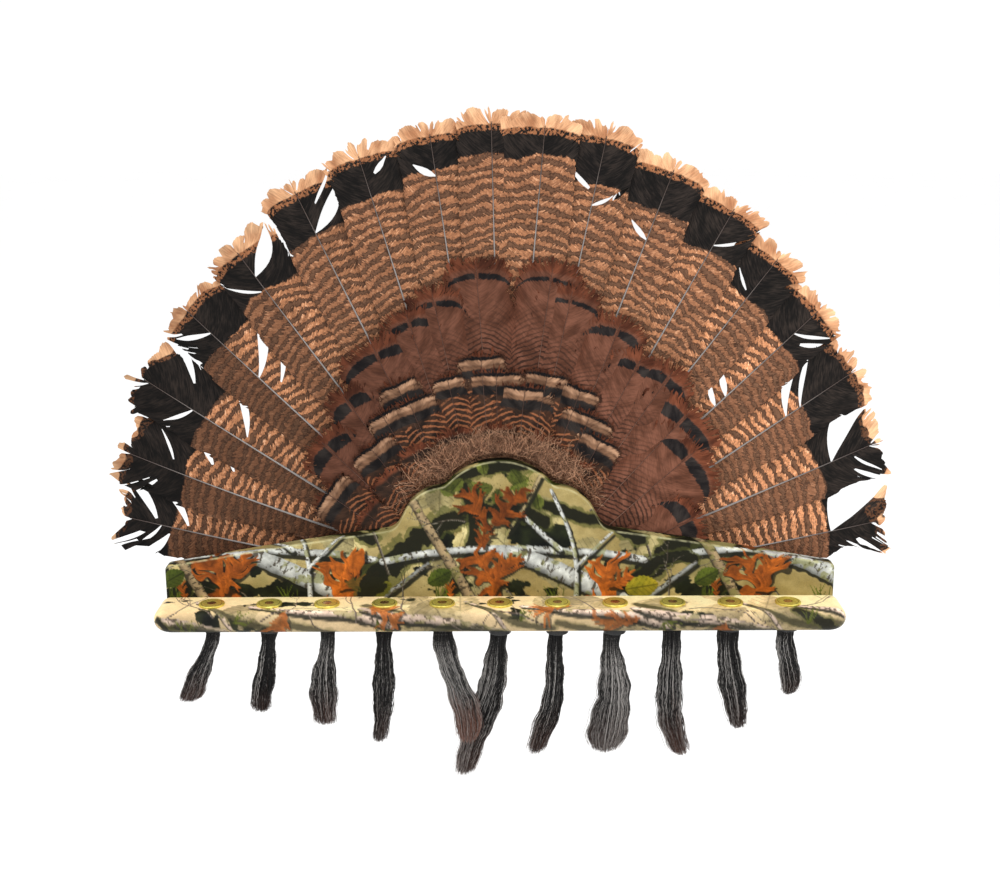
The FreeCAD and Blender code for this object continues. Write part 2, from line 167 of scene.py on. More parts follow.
class Graph:
    """A material with short ways to add and join nodes.  Keywords set the shader's inputs."""

    def __init__(self, name, **shader):
        self.material = bpy.data.materials.new(name)
        self.material.use_nodes = True
        self.tree = self.material.node_tree
        self.shader = self.tree.nodes["Principled BSDF"]
        for socket, value in shader.items():
            self.shader.inputs[socket.replace("_", " ")].default_value = value

    def join(self, value, socket):
        """Links a socket or sets a value."""
        if isinstance(value, bpy.types.NodeSocket):
            self.tree.links.new(value, socket)
        elif value is not None:
            socket.default_value = value

    def node(self, kind, output=0, settings=None, **inputs):
        """A new node's output.  An input is given by its name, or by i and its number."""
        node = self.tree.nodes.new(kind)
        for key, value in (settings or {}).items():
            setattr(node, key, value)
        for key, value in inputs.items():
            socket = node.inputs[int(key[1:])] if key[1:].isdigit() else node.inputs[key]
            self.join(value, socket)
        return node.outputs[output]

    def math(self, operation, a, b=0.0):
        """Arithmetic on one or two numbers."""
        return self.node("ShaderNodeMath", 0, {"operation": operation}, i0=a, i1=b)

    def add(self, a, b):
        return self.math("ADD", a, b)

    def times(self, a, b):
        return self.math("MULTIPLY", a, b)

    def step(self, value, low, high, from_value=0.0, to_value=1.0):
        """Eases from one value to another as value goes from low to high."""
        return self.node("ShaderNodeMapRange", 0, {"interpolation_type": "SMOOTHSTEP"},
                         Value=value, i1=low, i2=high, i3=from_value, i4=to_value)

    def mix(self, factor, a, b, blend="MIX"):
        """Colour a where the factor is 0, and b where it is 1."""
        return self.node("ShaderNodeMix", 2, {"data_type": "RGBA", "blend_type": blend},
                         i0=factor, i6=a, i7=b)

    def shaded(self, colour, shade):
        """A colour made darker or lighter by a shade about 1."""
        return self.mix(1.0, colour, self.combine(shade, shade, shade), "MULTIPLY")

    def attribute(self, name, output="Vector"):
        """What the mesh stores at each point under a name."""
        return self.node("ShaderNodeAttribute", output, {"attribute_name": name})

    def split(self, vector):
        node = self.tree.nodes.new("ShaderNodeSeparateXYZ")
        self.join(vector, node.inputs[0])
        return node.outputs[0], node.outputs[1], node.outputs[2]

    def combine(self, x, y, z):
        return self.node("ShaderNodeCombineXYZ", i0=x, i1=y, i2=z)

    def noise(self, vector, scale, detail, rough=0.5):
        return self.node("ShaderNodeTexNoise", Vector=vector, Scale=scale, Detail=detail,
                         Roughness=rough)

    def position(self, scale=(1, 1, 1)):
        """The place on the object itself, in metres, stretched along each axis."""
        coordinates = self.node("ShaderNodeTexCoord", "Object")
        return self.node("ShaderNodeVectorMath", 0, {"operation": "MULTIPLY"},
                         i0=coordinates, i1=scale)

    def bump(self, height, strength, distance=0.001):
        return self.node("ShaderNodeBump", Height=height, Strength=strength, Distance=distance)

    def finish(self, colour, roughness, normal=None):
        """Joins the shader up and returns the material."""
        self.join(colour, self.shader.inputs["Base Color"])
        self.join(roughness, self.shader.inputs["Roughness"])
        self.join(normal, self.shader.inputs["Normal"])
        return self.material


def camo_material():
    """Satin water-transfer film: the painted colours with fine print grain under lacquer."""
    g = Graph("camo_film", Specular_IOR_Level=0.06, Coat_Weight=0.06, Coat_Roughness=0.3)
    place = g.position()
    grain = g.noise(place, 900.0, 4.0, 0.6)
    mottle = g.noise(place, 160.0, 5.0, 0.65)
    colour = g.attribute("colour_camo", "Color")
    shade = g.step(g.add(g.times(grain, 0.5), g.times(mottle, 0.5)), 0.3, 0.7, 0.84, 1.13)
    colour = g.shaded(colour, shade)
    orange_peel = g.noise(place, 350.0, 1.0)
    return g.finish(colour, g.step(mottle, 0.3, 0.7, 0.34, 0.5), g.bump(orange_peel, 0.06))


def barb_lines(g):
    """Fine lines along the barbs: a shade, times the feather's painted light, a fine height, a
    broad variation, and the seed.
    """
    index, along_barb, seed = g.split(g.attribute("barb"))
    fine = g.noise(g.combine(g.times(index, 0.8), g.times(along_barb, 0.12), seed), 1.0, 2.0)
    broad = g.noise(g.combine(g.times(index, 0.07), g.times(along_barb, 0.05), seed), 1.0, 3.0)
    shade = g.step(g.add(g.times(fine, 0.6), g.times(broad, 0.4)), 0.32, 0.68, 0.74, 1.24)
    return g.times(shade, g.attribute("tone", "Fac")), fine, broad, seed


def ripple(g, along, across, seed, scale, detail=3.0):
    """Noise over a feather's own plane, centred on nought."""
    place = g.combine(g.times(along, scale), g.times(across, scale), seed)
    return g.add(g.noise(place, 1.0, detail, 0.6), -0.5)


def tail_feather_material():
    """Chestnut bars on dark brown, then a wide black band, a speckled line and a buff tip."""
    g = Graph("tail_feather", Specular_IOR_Level=0.08)
    behind, across, inner = g.split(g.attribute("vane"))
    past_band = g.attribute("past_band", "Fac")
    shade, fine, broad, seed = barb_lines(g)
    wide = ripple(g, behind, across, seed, 0.02)
    wave = ripple(g, behind, across, seed, 0.075)
    speck = ripple(g, behind, across, seed, 0.42, 4.0)
    dots = ripple(g, behind, across, seed, 0.95, 2.0)

    # bars: their spacing shrinks from the tip to the root, and each barb is a little out of line
    sway = g.add(g.times(wide, 24.0), g.times(wave, 8.0))
    stagger = g.times(g.add(fine, -0.5), 7.0)
    line = g.add(g.add(behind, sway), g.add(stagger, g.times(g.math("ABSOLUTE", across), -0.14)))
    count = g.times(g.times(line, 1 / 10.2), g.add(1.0, g.times(line, 0.0009)))
    rise = g.math("SINE", g.times(g.add(count, g.times(seed, 0.37)), 2 * math.pi))
    rise = g.add(rise, g.times(speck, g.add(4.6, g.times(inner, -3.3))))
    rise = g.add(rise, g.times(g.add(broad, -0.5), 1.6))
    bars = g.step(rise, -0.35, 0.45)
    hollow = g.step(rise, -0.35, -1.0)

    ground = g.mix(hollow, paint(64, 43, 32), paint(112, 80, 60))
    ground = g.mix(g.step(broad, 0.3, 0.75, 0.0, 0.5), ground, paint(82, 58, 45))
    pale = g.mix(g.times(inner, g.step(speck, -0.35, 0.15)), paint(110, 75, 55),
                 paint(224, 154, 108))
    glint = g.step(g.add(fine, g.times(speck, 0.6)), 0.58, 0.74, 0.0, 0.7)
    pale = g.mix(g.times(glint, inner), pale, paint(250, 200, 160))
    pale = g.mix(g.step(dots, 0.08, 0.16, 0.0, 0.75), pale, paint(92, 60, 44))
    pale = g.mix(g.step(wide, -0.2, 0.2, 0.3, 0.0), pale, paint(120, 80, 58))
    pale = g.mix(g.step(behind, 170.0, 300.0), pale, paint(110, 72, 52))
    colour = g.mix(bars, ground, pale)
    frayed = g.add(past_band, g.add(g.times(speck, 5.0), g.times(wide, 22.0)))
    # lighter brown streaks over the black band: barb colour and painted sheen
    streak = g.add(g.times(fine, 0.5), g.times(broad, 0.5))
    black = g.mix(g.step(streak, 0.40, 0.70), paint(21, 19, 18), paint(46, 39, 35))
    colour = g.mix(g.step(frayed, -0.8, 0.8, 1.0, 0.0), colour, black)
    worn = g.attribute("worn", "Fac")
    tip = g.add(behind, g.times(wave, 5.0))
    tip = g.add(tip, g.times(worn, g.add(8.0, g.times(wide, 60.0))))
    freckle = g.add(g.step(speck, -0.06, 0.04), g.step(tip, 15.5, 17.5, 0.0, -1.0))
    freckle = g.times(g.step(freckle, 0.0, 1.0), g.step(tip, 9.0, 10.5))
    freckle = g.times(freckle, g.step(worn, 0.0, 1.0, 0.9, 0.25))
    colour = g.mix(freckle, colour, paint(158, 104, 70))
    buff = g.mix(g.step(broad, 0.3, 0.7), paint(178, 122, 86), paint(222, 172, 130))
    buff = g.mix(g.step(behind, -3.0, 6.0, 0.4, 0.0), buff, paint(232, 194, 154))
    colour = g.mix(g.step(tip, 10.0, 11.5, 1.0, 0.0), colour, buff)
    colour = g.shaded(colour, shade)
    return g.finish(colour, g.step(fine, 0.3, 0.7, 0.5, 0.72), g.bump(fine, 0.4, 0.0006))


def covert_material(name, ground, bar, bands, black, soft_black, bar_pitch, bars_from, bars_full):
    """A body feather.  Ground has its darker, paler and edge colours.  Bands are measured in from
    the tip: start, end, softness, darker colour, paler colour, and gap beside the shaft."""
    g = Graph(name, Specular_IOR_Level=0.07)
    behind, across, share = g.split(g.attribute("vane"))
    shade, fine, broad, seed = barb_lines(g)
    wide = ripple(g, behind, across, seed, 0.03)
    wave = ripple(g, behind, across, seed, 0.06)
    speck = ripple(g, behind, across, seed, 0.4)
    beside = g.math("ABSOLUTE", across)
    line = g.add(g.add(behind, g.times(wave, 8.0)), g.times(beside, -0.38))
    bars = g.math("SINE", g.times(line, 2 * math.pi / bar_pitch))
    bars = g.step(g.add(bars, g.times(speck, 2.2)), 0.15, 0.7)
    bars = g.times(bars, g.step(g.add(behind, g.times(wave, 40.0)), bars_from, bars_full))
    colour = g.mix(g.step(broad, 0.3, 0.7), ground[0], ground[1])
    colour = g.mix(g.step(share, 0.5, 1.0, 0.0, 0.5), colour, ground[2])
    colour = g.mix(bars, colour, bar)
    place = g.add(behind, g.add(g.times(wave, 5.0), g.times(speck, 1.6)))
    place = g.add(place, g.times(g.add(fine, -0.5), 4.0))
    far_side = g.add(place, g.times(g.times(share, share), 3.0))
    for start, end, soft, dark, pale, gap in bands:
        inside = g.times(g.step(place, start - soft, start + soft),
                         g.step(far_side, end - soft, end + soft, 1.0, 0.0))
        inside = g.times(inside, g.step(beside, gap - 0.7, gap + 0.7))
        colour = g.mix(inside, colour, g.mix(g.step(broad, 0.3, 0.7), dark, pale))
    # a brushed black stroke on each side of the shaft, thickest at its middle
    thick = g.add(behind, g.times(g.attribute("past_band", "Fac"), -1.0))
    off = g.add(share, g.add(g.times(wide, 0.6), -0.38))
    swell = g.times(g.add(1.0, g.times(g.times(off, off), -1.5)), g.times(thick, 0.5))
    from_line = g.math("ABSOLUTE", g.add(place, -16.5))
    stroke = g.step(g.add(from_line, g.times(swell, -1.0)), -0.6, 0.6, 1.0, 0.0)
    stroke = g.times(stroke, g.step(beside, 0.8, 2.2))
    colour = g.mix(stroke, colour, g.mix(g.step(broad, 0.35, 0.75), black, soft_black))
    colour = g.shaded(colour, shade)
    return g.finish(colour, g.step(fine, 0.3, 0.7, 0.5, 0.75), g.bump(fine, 0.4, 0.0006))


def shaft_material(name, dark, pale, end):
    """Horn-like feather shaft, which darkens towards its end."""
    g = Graph(name, Specular_IOR_Level=0.4)
    behind, _, _ = g.split(g.attribute("vane"))
    streak = g.noise(g.position((40, 40, 300)), 8.0, 3.0)
    horn = g.mix(streak, dark, pale)
    colour = g.mix(g.step(behind, 15.0, 110.0, 1.0, 0.0), horn, end)
    return g.finish(colour, g.step(streak, 0.3, 0.7, 0.3, 0.45), g.bump(streak, 0.1))


def strand_material(name, dark, pale, tip, tip_start, roughness):
    """Hair-like strands: each has its own shade, and their ends turn to the tip's colour."""
    g = Graph(name, Specular_IOR_Level=0.25)
    shade, along, warm = g.split(g.attribute("strand"))
    # streaks along each hair break the pale up, partly as hair colour and partly as painted glints
    streak = g.noise(g.combine(g.times(along, 24.0), g.times(shade, 60.0), warm), 1.0, 3.0)
    colour = g.mix(g.step(g.add(g.times(shade, 0.75), streak), 0.80, 1.20), dark, pale)
    reach = g.step(g.add(along, g.times(g.add(shade, -0.5), 0.2)), tip_start, 1.0)
    colour = g.mix(g.times(reach, warm), colour, tip)
    return g.finish(colour, g.step(streak, 0.3, 0.7, roughness, roughness + 0.2),
                    g.bump(streak, 0.2, 0.0003))


def brass_material():
    """Drawn brass: fine turning marks, faint tarnish, and painted shade in the grooves."""
    g = Graph("shell_brass", Metallic=1.0)
    radius, height, _ = g.split(g.attribute("lathe"))
    place = g.position()
    tarnish = g.noise(place, 220.0, 4.0, 0.6)
    rings = g.noise(g.combine(g.times(radius, 5.0), g.times(height, 5.0), 0.0), 1.0, 2.0)
    colour = g.mix(g.step(tarnish, 0.35, 0.7), paint(250, 240, 132), paint(216, 196, 94))
    # painted shade in the primer's pocket and the ring groove
    groove = g.attribute("groove", "Fac")
    colour = g.mix(groove, colour, paint(58, 42, 18))
    return g.finish(colour, g.step(tarnish, 0.3, 0.7, 0.44, 0.6), g.bump(rings, 0.15, 0.0002))


def primer_material():
    """Copper-washed primer cup."""
    g = Graph("primer_cup", Metallic=1.0)
    stain = g.noise(g.position(), 500.0, 4.0, 0.6)
    colour = g.mix(g.step(stain, 0.35, 0.7), paint(240, 196, 140), paint(196, 138, 90))
    return g.finish(colour, g.step(stain, 0.3, 0.7, 0.22, 0.42), g.bump(stain, 0.1, 0.0002))


def hull_material():
    """Black polyethylene with faint scuffs."""
    g = Graph("hull_black", Specular_IOR_Level=0.5)
    scuff = g.noise(g.position((1, 1, 0.2)), 700.0, 4.0, 0.7)
    colour = g.mix(g.step(scuff, 0.5, 0.8), paint(20, 20, 20), paint(58, 56, 54))
    return g.finish(colour, g.step(scuff, 0.3, 0.7, 0.3, 0.5), g.bump(scuff, 0.1, 0.0003))


def wood_material(name, early, late, stretch):
    """Plain wood, with grain along X.  Stretch is how closely it repeats along each axis."""
    g = Graph(name, Specular_IOR_Level=0.3)
    grain = g.noise(g.position(stretch), 1.0, 5.0, 0.62)
    pores = g.noise(g.position((12, 400, 400)), 3.0, 3.0, 0.7)
    colour = g.mix(g.step(grain, 0.35, 0.65), early, late)
    colour = g.mix(g.step(pores, 0.55, 0.75, 0.0, 0.45), colour, paint(96, 66, 38))
    return g.finish(colour, g.step(grain, 0.3, 0.7, 0.6, 0.78), g.bump(pores, 0.2, 0.0004))


def metal_material(name, bright, left_shade, rough):
    """Plated steel with a cloudy finish and fine scratches."""
    g = Graph(name, Metallic=1.0)
    blotch = g.noise(g.position(), 260.0, 4.0, 0.6)
    scratch = g.noise(g.position((30, 30, 900)), 2.0, 2.0)
    colour = g.mix(g.step(blotch, 0.35, 0.7), bright, left_shade)
    return g.finish(colour, g.step(scratch, 0.3, 0.7, rough, rough + 0.2),
                    g.bump(scratch, 0.1, 0.0002))


def skin_material():
    """Dried skin and filler: brown, cracked and matte."""
    g = Graph("dried_skin", Specular_IOR_Level=0.25)
    place = g.position()
    lumps = g.noise(place, 110.0, 5.0, 0.6)
    cracks = g.node("ShaderNodeTexVoronoi", 0, {"feature": "DISTANCE_TO_EDGE"},
                    Vector=place, Scale=160.0)
    crack = g.step(cracks, 0.0, 0.06, 1.0, 0.0)
    colour = g.mix(g.step(lumps, 0.3, 0.7), paint(92, 64, 46), paint(146, 112, 82))
    colour = g.mix(g.times(crack, 0.6), colour, paint(52, 36, 28))
    height = g.add(lumps, g.times(crack, -0.4))
    return g.finish(colour, g.step(lumps, 0.3, 0.7, 0.7, 0.9), g.bump(height, 0.5, 0.001))


# ------------------------------------------------------------------ camouflage painting

class Film:
    """Colours for a set of surface points, painted in layers as a printed film would be."""

    def __init__(self, u, v):
        self.u, self.v = u, v
        self.rgb = np.zeros((len(u), 3))

    def lay(self, mask, colour, where=slice(None)):
        """Paints a colour, or one per point, through a mask from 0 to 1."""
        mask = np.asarray(mask)[:, None]
        self.rgb[where] = self.rgb[where] * (1 - mask) + np.asarray(colour) * mask

    def near(self, low_u, high_u, low_v, high_v):
        """The indices of the points in a rectangle."""
        inside = (self.u > low_u) & (self.u < high_u) & (self.v > low_v) & (self.v < high_v)
        return np.flatnonzero(inside)

    def ground(self, seed):
        """Khaki earth with soft olive and sand clouds."""
        u, v = self.u, self.v
        soft = cloud(u / 70, v / 45, seed)
        fine = cloud(u / 9, v / 6, seed + 5)
        base = np.array([0.62, 0.55, 0.35]) + (soft - 0.5)[:, None] * np.array([0.30, 0.30, 0.26])
        self.rgb = base + (fine - 0.5)[:, None] * 0.10
        self.lay(smooth((cloud(u / 60, v / 40, seed + 9) - 0.54) / 0.12) * 0.7,
                 [0.45, 0.43, 0.26])

    def shadows(self, seed, amount):
        """Deep olive-black gaps with torn edges."""
        u, v = self.u, self.v
        torn = cloud(u / 42, v / 26, seed) + 0.16 * (cloud(u / 5, v / 5, seed + 3) - 0.5)
        level = np.quantile(torn, 1 - amount)
        deep = smooth((torn - level) / 0.025)
        tone = cloud(u / 12, v / 12, seed + 7)[:, None]
        self.lay(deep, np.array([0.07, 0.08, 0.05]) + (tone - 0.4) * np.array([0.16, 0.18, 0.08]))

    def stroke(self, points, start_width, end_width, seed, rough=0.12):
        """Points near a curved stroke: their index, place along it, and place across it."""
        points = np.asarray(points, float)
        reach = max(start_width, end_width) * 1.3 + 1
        low, high = points.min(0) - reach, points.max(0) + reach
        where = self.near(low[0], high[0], low[1], high[1])
        u, v = self.u[where], self.v[where]
        best = np.full(len(where), 1e9)
        side, along = np.zeros(len(where)), np.zeros(len(where))
        lengths = np.hypot(*np.diff(points, axis=0).T)
        total, run = lengths.sum(), 0.0
        for start, end, length in zip(points[:-1], points[1:], lengths):
            d = (end - start) / length
            t = np.clip((u - start[0]) * d[0] + (v - start[1]) * d[1], 0, length)
            du, dv = u - start[0] - t * d[0], v - start[1] - t * d[1]
            distance = np.hypot(du, dv)
            nearer = distance < best
            best = np.where(nearer, distance, best)
            side = np.where(nearer, np.sign(d[0] * dv - d[1] * du), side)
            along = np.where(nearer, (run + t) / total, along)
            run += length
        half = 0.5 * (start_width + (end_width - start_width) * along)
        half = half * (1 + rough * 2 * (cloud(u / 7, v / 7, seed) - 0.5))
        return where, along * total, side * best / np.maximum(half, 0.05), half

    def cover(self, across, half, edge=0.45):
        """The mask of a stroke, soft over a fraction of a millimetre."""
        return smooth((1 - np.abs(across)) * half / edge + 0.5)

    def bough(self, points, start_width, end_width, seed, strength=1.0):
        """A dark bough in the background, in soft olive shade."""
        halo, core = (1.5, [0.28, 0.29, 0.13], 0.6), (1.0, [0.10, 0.10, 0.06], 0.95)
        for grow, colour, blend in (halo, core):
            where, _, across, half = self.stroke(points, start_width * grow, end_width * grow, seed,
                                                 0.6)
            self.lay(self.cover(across, half, 1.3) * blend * strength, colour, where)

    def limb(self, points, start_width, end_width, seed, pale, bark_colour=(0.96, 0.97, 0.94)):
        """A birch-like limb: a shadow beneath, grey-white bark, dark flecks and moss."""
        points = np.asarray(points, float)
        where, _, across, half = self.stroke(points + (2.0, -3.5), start_width * 1.1,
                                             end_width * 1.1, seed, 0.3)
        self.lay(self.cover(across, half, 1.5) * 0.88, [0.11, 0.11, 0.08], where)
        where, along, across, half = self.stroke(points, start_width, end_width, seed)
        u, v = self.u[where], self.v[where]
        bark = cloud(u / 6, v / 6, seed + 11)
        fleck = cloud(along / 2.2, across * 1.3 + 9, seed + 13, 3)
        tone = pale * (0.98 - 0.34 * np.abs(across) ** 2 + 0.16 * across) * (0.74 + 0.52 * bark)
        colour = tone[:, None] * np.array(bark_colour)
        dark = smooth((fleck - 0.60) / 0.06)[:, None] * 0.75
        colour = colour * (1 - dark) + dark * np.array([0.20, 0.17, 0.13])
        moss = smooth((cloud(u / 10, v / 8, seed + 17) - 0.58) / 0.08)[:, None] * 0.55
        colour = colour * (1 - moss) + moss * np.array([0.46, 0.46, 0.24])
        self.lay(self.cover(across, half), colour, where)

    def twig(self, points, start_width, end_width, seed):
        """A thin twig, lit along its upper edge."""
        where, _, across, half = self.stroke(points, start_width, end_width, seed, 0.25)
        lit = smooth((across + 0.1) / 0.6)[:, None] * 0.45
        self.lay(self.cover(across, half, 0.5),
                 np.array([0.24, 0.21, 0.17]) * (1 - lit) + lit * np.array([0.74, 0.71, 0.64]),
                 where)

    def leaf_frame(self, base, angle, length, reach):
        """Points near a leaf, in its own frame: along from 0 to 1, and across."""
        c, s = math.cos(math.radians(angle)), math.sin(math.radians(angle))
        middle = np.array(base) + 0.5 * length * np.array([c, s])
        span = length * reach
        where = self.near(middle[0] - span, middle[0] + span, middle[1] - span, middle[1] + span)
        du, dv = self.u[where] - base[0], self.v[where] - base[1]
        a, b = (du * c + dv * s) / length, (dv * c - du * s) / length
        return where, a, b

    def oak_leaf(self, base, angle, length, seed, warm, strength=1.0):
        """An oak leaf: a stalk and a midrib, with a forked finger-like lobe along each side vein.
        Warm is how orange it is, from 0 to 1."""
        rng = np.random.default_rng(seed)
        # each finger has its root, its tip, and its half-width at both, in leaf lengths
        stalk = ((-0.14, 0.0), (0.06, 0.0), 0.012, 0.02)
        midrib = ((0.0, 0.0), (0.95, 0.0), 0.085, 0.025)
        fingers = [stalk, midrib]
        for at, reach in ((0.08, 0.30), (0.34, 0.52), (0.62, 0.42)):
            for side in (-1, 1):
                turn, long = math.radians(rng.uniform(35, 65)), reach * rng.uniform(0.8, 1.2)
                root = np.array([at + rng.normal(0, 0.03), 0.0])
                tip = root + long * np.array([math.cos(turn), side * math.sin(turn)])
                fingers.append((root, tip, 0.10, 0.022))
                turn -= math.radians(rng.choice([-38, 38]))
                fork = tip - 0.45 * (tip - root)
                spur = 0.42 * long * np.array([math.cos(turn), side * math.sin(turn)])
                fingers.append((fork, fork + spur, 0.05, 0.012))
        for shadow, place in ((True, np.array(base) + (2.0, -2.5)), (False, base)):
            where, a, b = self.leaf_frame(place, angle, length, 0.85)
            u, v = self.u[where], self.v[where]
            a = a + 0.20 * (value_noise(u / 11, v / 11, seed) - 0.5)
            b = b + 0.24 * (value_noise(u / 10, v / 10, seed + 2) - 0.5)
            inside, vein, light = np.full(len(a), -1.0), np.full(len(a), 1.0), np.zeros(len(a))
            for root, tip, start, end in fingers:
                da, db = tip[0] - root[0], tip[1] - root[1]
                span = math.hypot(da, db)
                t = np.clip(((a - root[0]) * da + (b - root[1]) * db) / span ** 2, 0, 1)
                away = np.hypot(a - root[0] - t * da, b - root[1] - t * db)
                depth = start + (end - start) * t - away
                nearer = depth > inside
                across = (da * (b - root[1]) - db * (a - root[0])) / span / start
                light = np.where(nearer, np.clip(across, -1, 1), light)
                inside, vein = np.maximum(inside, depth), np.minimum(vein, away)
            mask = smooth(inside * length / 0.7 + 0.5)
            if shadow:
                self.lay(mask * 0.7 * strength, [0.08, 0.07, 0.05], where)
                continue
            tone = 0.92 + 0.16 * light + 0.5 * (cloud(u / 5, v / 5, seed + 4) - 0.5)
            rust, orange = np.array([0.46, 0.23, 0.09]), np.array([0.76, 0.40, 0.13])
            mix = np.clip(warm + 1.1 * (cloud(u / 13, v / 13, seed + 6) - 0.5), 0, 1)[:, None]
            line = 0.14 * np.exp(-(vein * length / 0.5) ** 2)[:, None]
            colour = (rust * (1 - mix) + orange * mix) * tone[:, None] * (1 - line)
            self.lay(mask * strength, colour, where)

    def broad_leaf(self, base, angle, length, seed, dark=(0.34, 0.35, 0.08),
                   pale=(0.72, 0.62, 0.16), strength=1.0):
        """A leaf with a toothed edge, yellow-green unless it is given other colours."""
        where, a, b = self.leaf_frame(base, angle, length, 0.8)
        u, v = self.u[where], self.v[where]
        tooth = 0.04 * np.abs(2 * np.mod(a * 7 - np.abs(b) * 4, 1) - 1)
        half = 0.33 * np.clip(np.sin(math.pi * np.clip(a, 0, 1)), 0, 1) ** 0.7 + tooth * (a > 0.05)
        half = np.where((a > 0) & (a < 1), half, 0)
        mask = smooth((half - np.abs(b)) * length / 0.7 + 0.5)
        tone = cloud(u / 6, v / 6, seed)[:, None]
        colour = np.array(dark) * (1 - tone) + tone * np.array(pale)
        ribs = np.abs(2 * np.mod(a * 6 - np.abs(b) * 5, 1) - 1) > 0.88
        vein = np.maximum(np.exp(-(b * length / 0.6) ** 2), 0.6 * ribs)[:, None] * 0.4
        light = 1 + 0.5 * np.clip(b * 2, -0.3, 0.3)[:, None]
        self.lay(mask * strength, colour * (1 - vein) * light, where)

    def needles(self, base, angle, length, count, seed):
        """A spray of green needles from one point."""
        rng = np.random.default_rng(seed)
        for _ in range(count):
            turn = math.radians(angle + rng.normal(0, 28))
            reach = length * rng.uniform(0.55, 1.0)
            bow = rng.normal(0, 0.12) * reach
            end = np.array(base) + reach * np.array([math.cos(turn), math.sin(turn)])
            middle = 0.5 * (np.array(base) + end)
            middle = middle + bow * np.array([-math.sin(turn), math.cos(turn)])
            shade = rng.uniform(0.7, 1.3)
            where, _, across, half = self.stroke([base, middle, end], 1.3, 0.5, seed, 0.1)
            self.lay(self.cover(across, half, 0.5) * 0.9,
                     np.array([0.29, 0.33, 0.10]) * shade, where)

    def branching_twig(self, start, angle, length, width, seed, depth=2):
        """A wandering twig that forks."""
        rng = np.random.default_rng(seed)
        points, heading = [np.array(start, float)], math.radians(angle)
        steps = 6
        for number in range(steps):
            heading += rng.normal(0, 0.22)
            step = length / steps * np.array([math.cos(heading), math.sin(heading)])
            points.append(points[-1] + step)
            if depth and number in (2, 4):
                side = math.degrees(heading) + rng.choice([-1, 1]) * rng.uniform(28, 55)
                self.branching_twig(points[-1], side, length * 0.5, width * 0.6,
                                    seed + 31 + number, depth - 1)
        self.twig(points, width, width * 0.4, seed)

    def litter(self, seed, count, half_length, low, high):
        """Dull fallen leaves, scattered over the ground."""
        rng = np.random.default_rng(seed)
        for number in range(count):
            place = (rng.uniform(-half_length, half_length), rng.uniform(low, high))
            shade = rng.uniform(0.8, 1.12)
            self.broad_leaf(place, rng.uniform(0, 360), rng.uniform(28, 62), seed + 7 * number,
                            np.array([0.48, 0.44, 0.27]) * shade,
                            np.array([0.78, 0.73, 0.54]) * shade, 0.75)

    def colours(self):
        """The painted colours as linear light."""
        return linear(np.clip(self.rgb, 0.01, 0.98))


def curve_through(points):
    """A smooth curve through a few points, for a limb."""
    points = np.asarray(points, float)
    ends = np.vstack([2 * points[0] - points[1], points, 2 * points[-1] - points[-2]])
    out = []
    for i in range(len(points) - 1):
        p0, p1, p2, p3 = ends[i:i + 4]
        for t in np.linspace(0, 1, 24, endpoint=i == len(points) - 2):
            out.append(0.5 * (2 * p1 + (p2 - p0) * t + (2 * p0 - 5 * p1 + 4 * p2 - p3) * t * t
                              + (3 * p1 - p0 - 3 * p2 + p3) * t ** 3))
    return np.array(out)[::4]


FILM_REPEAT = 238.0


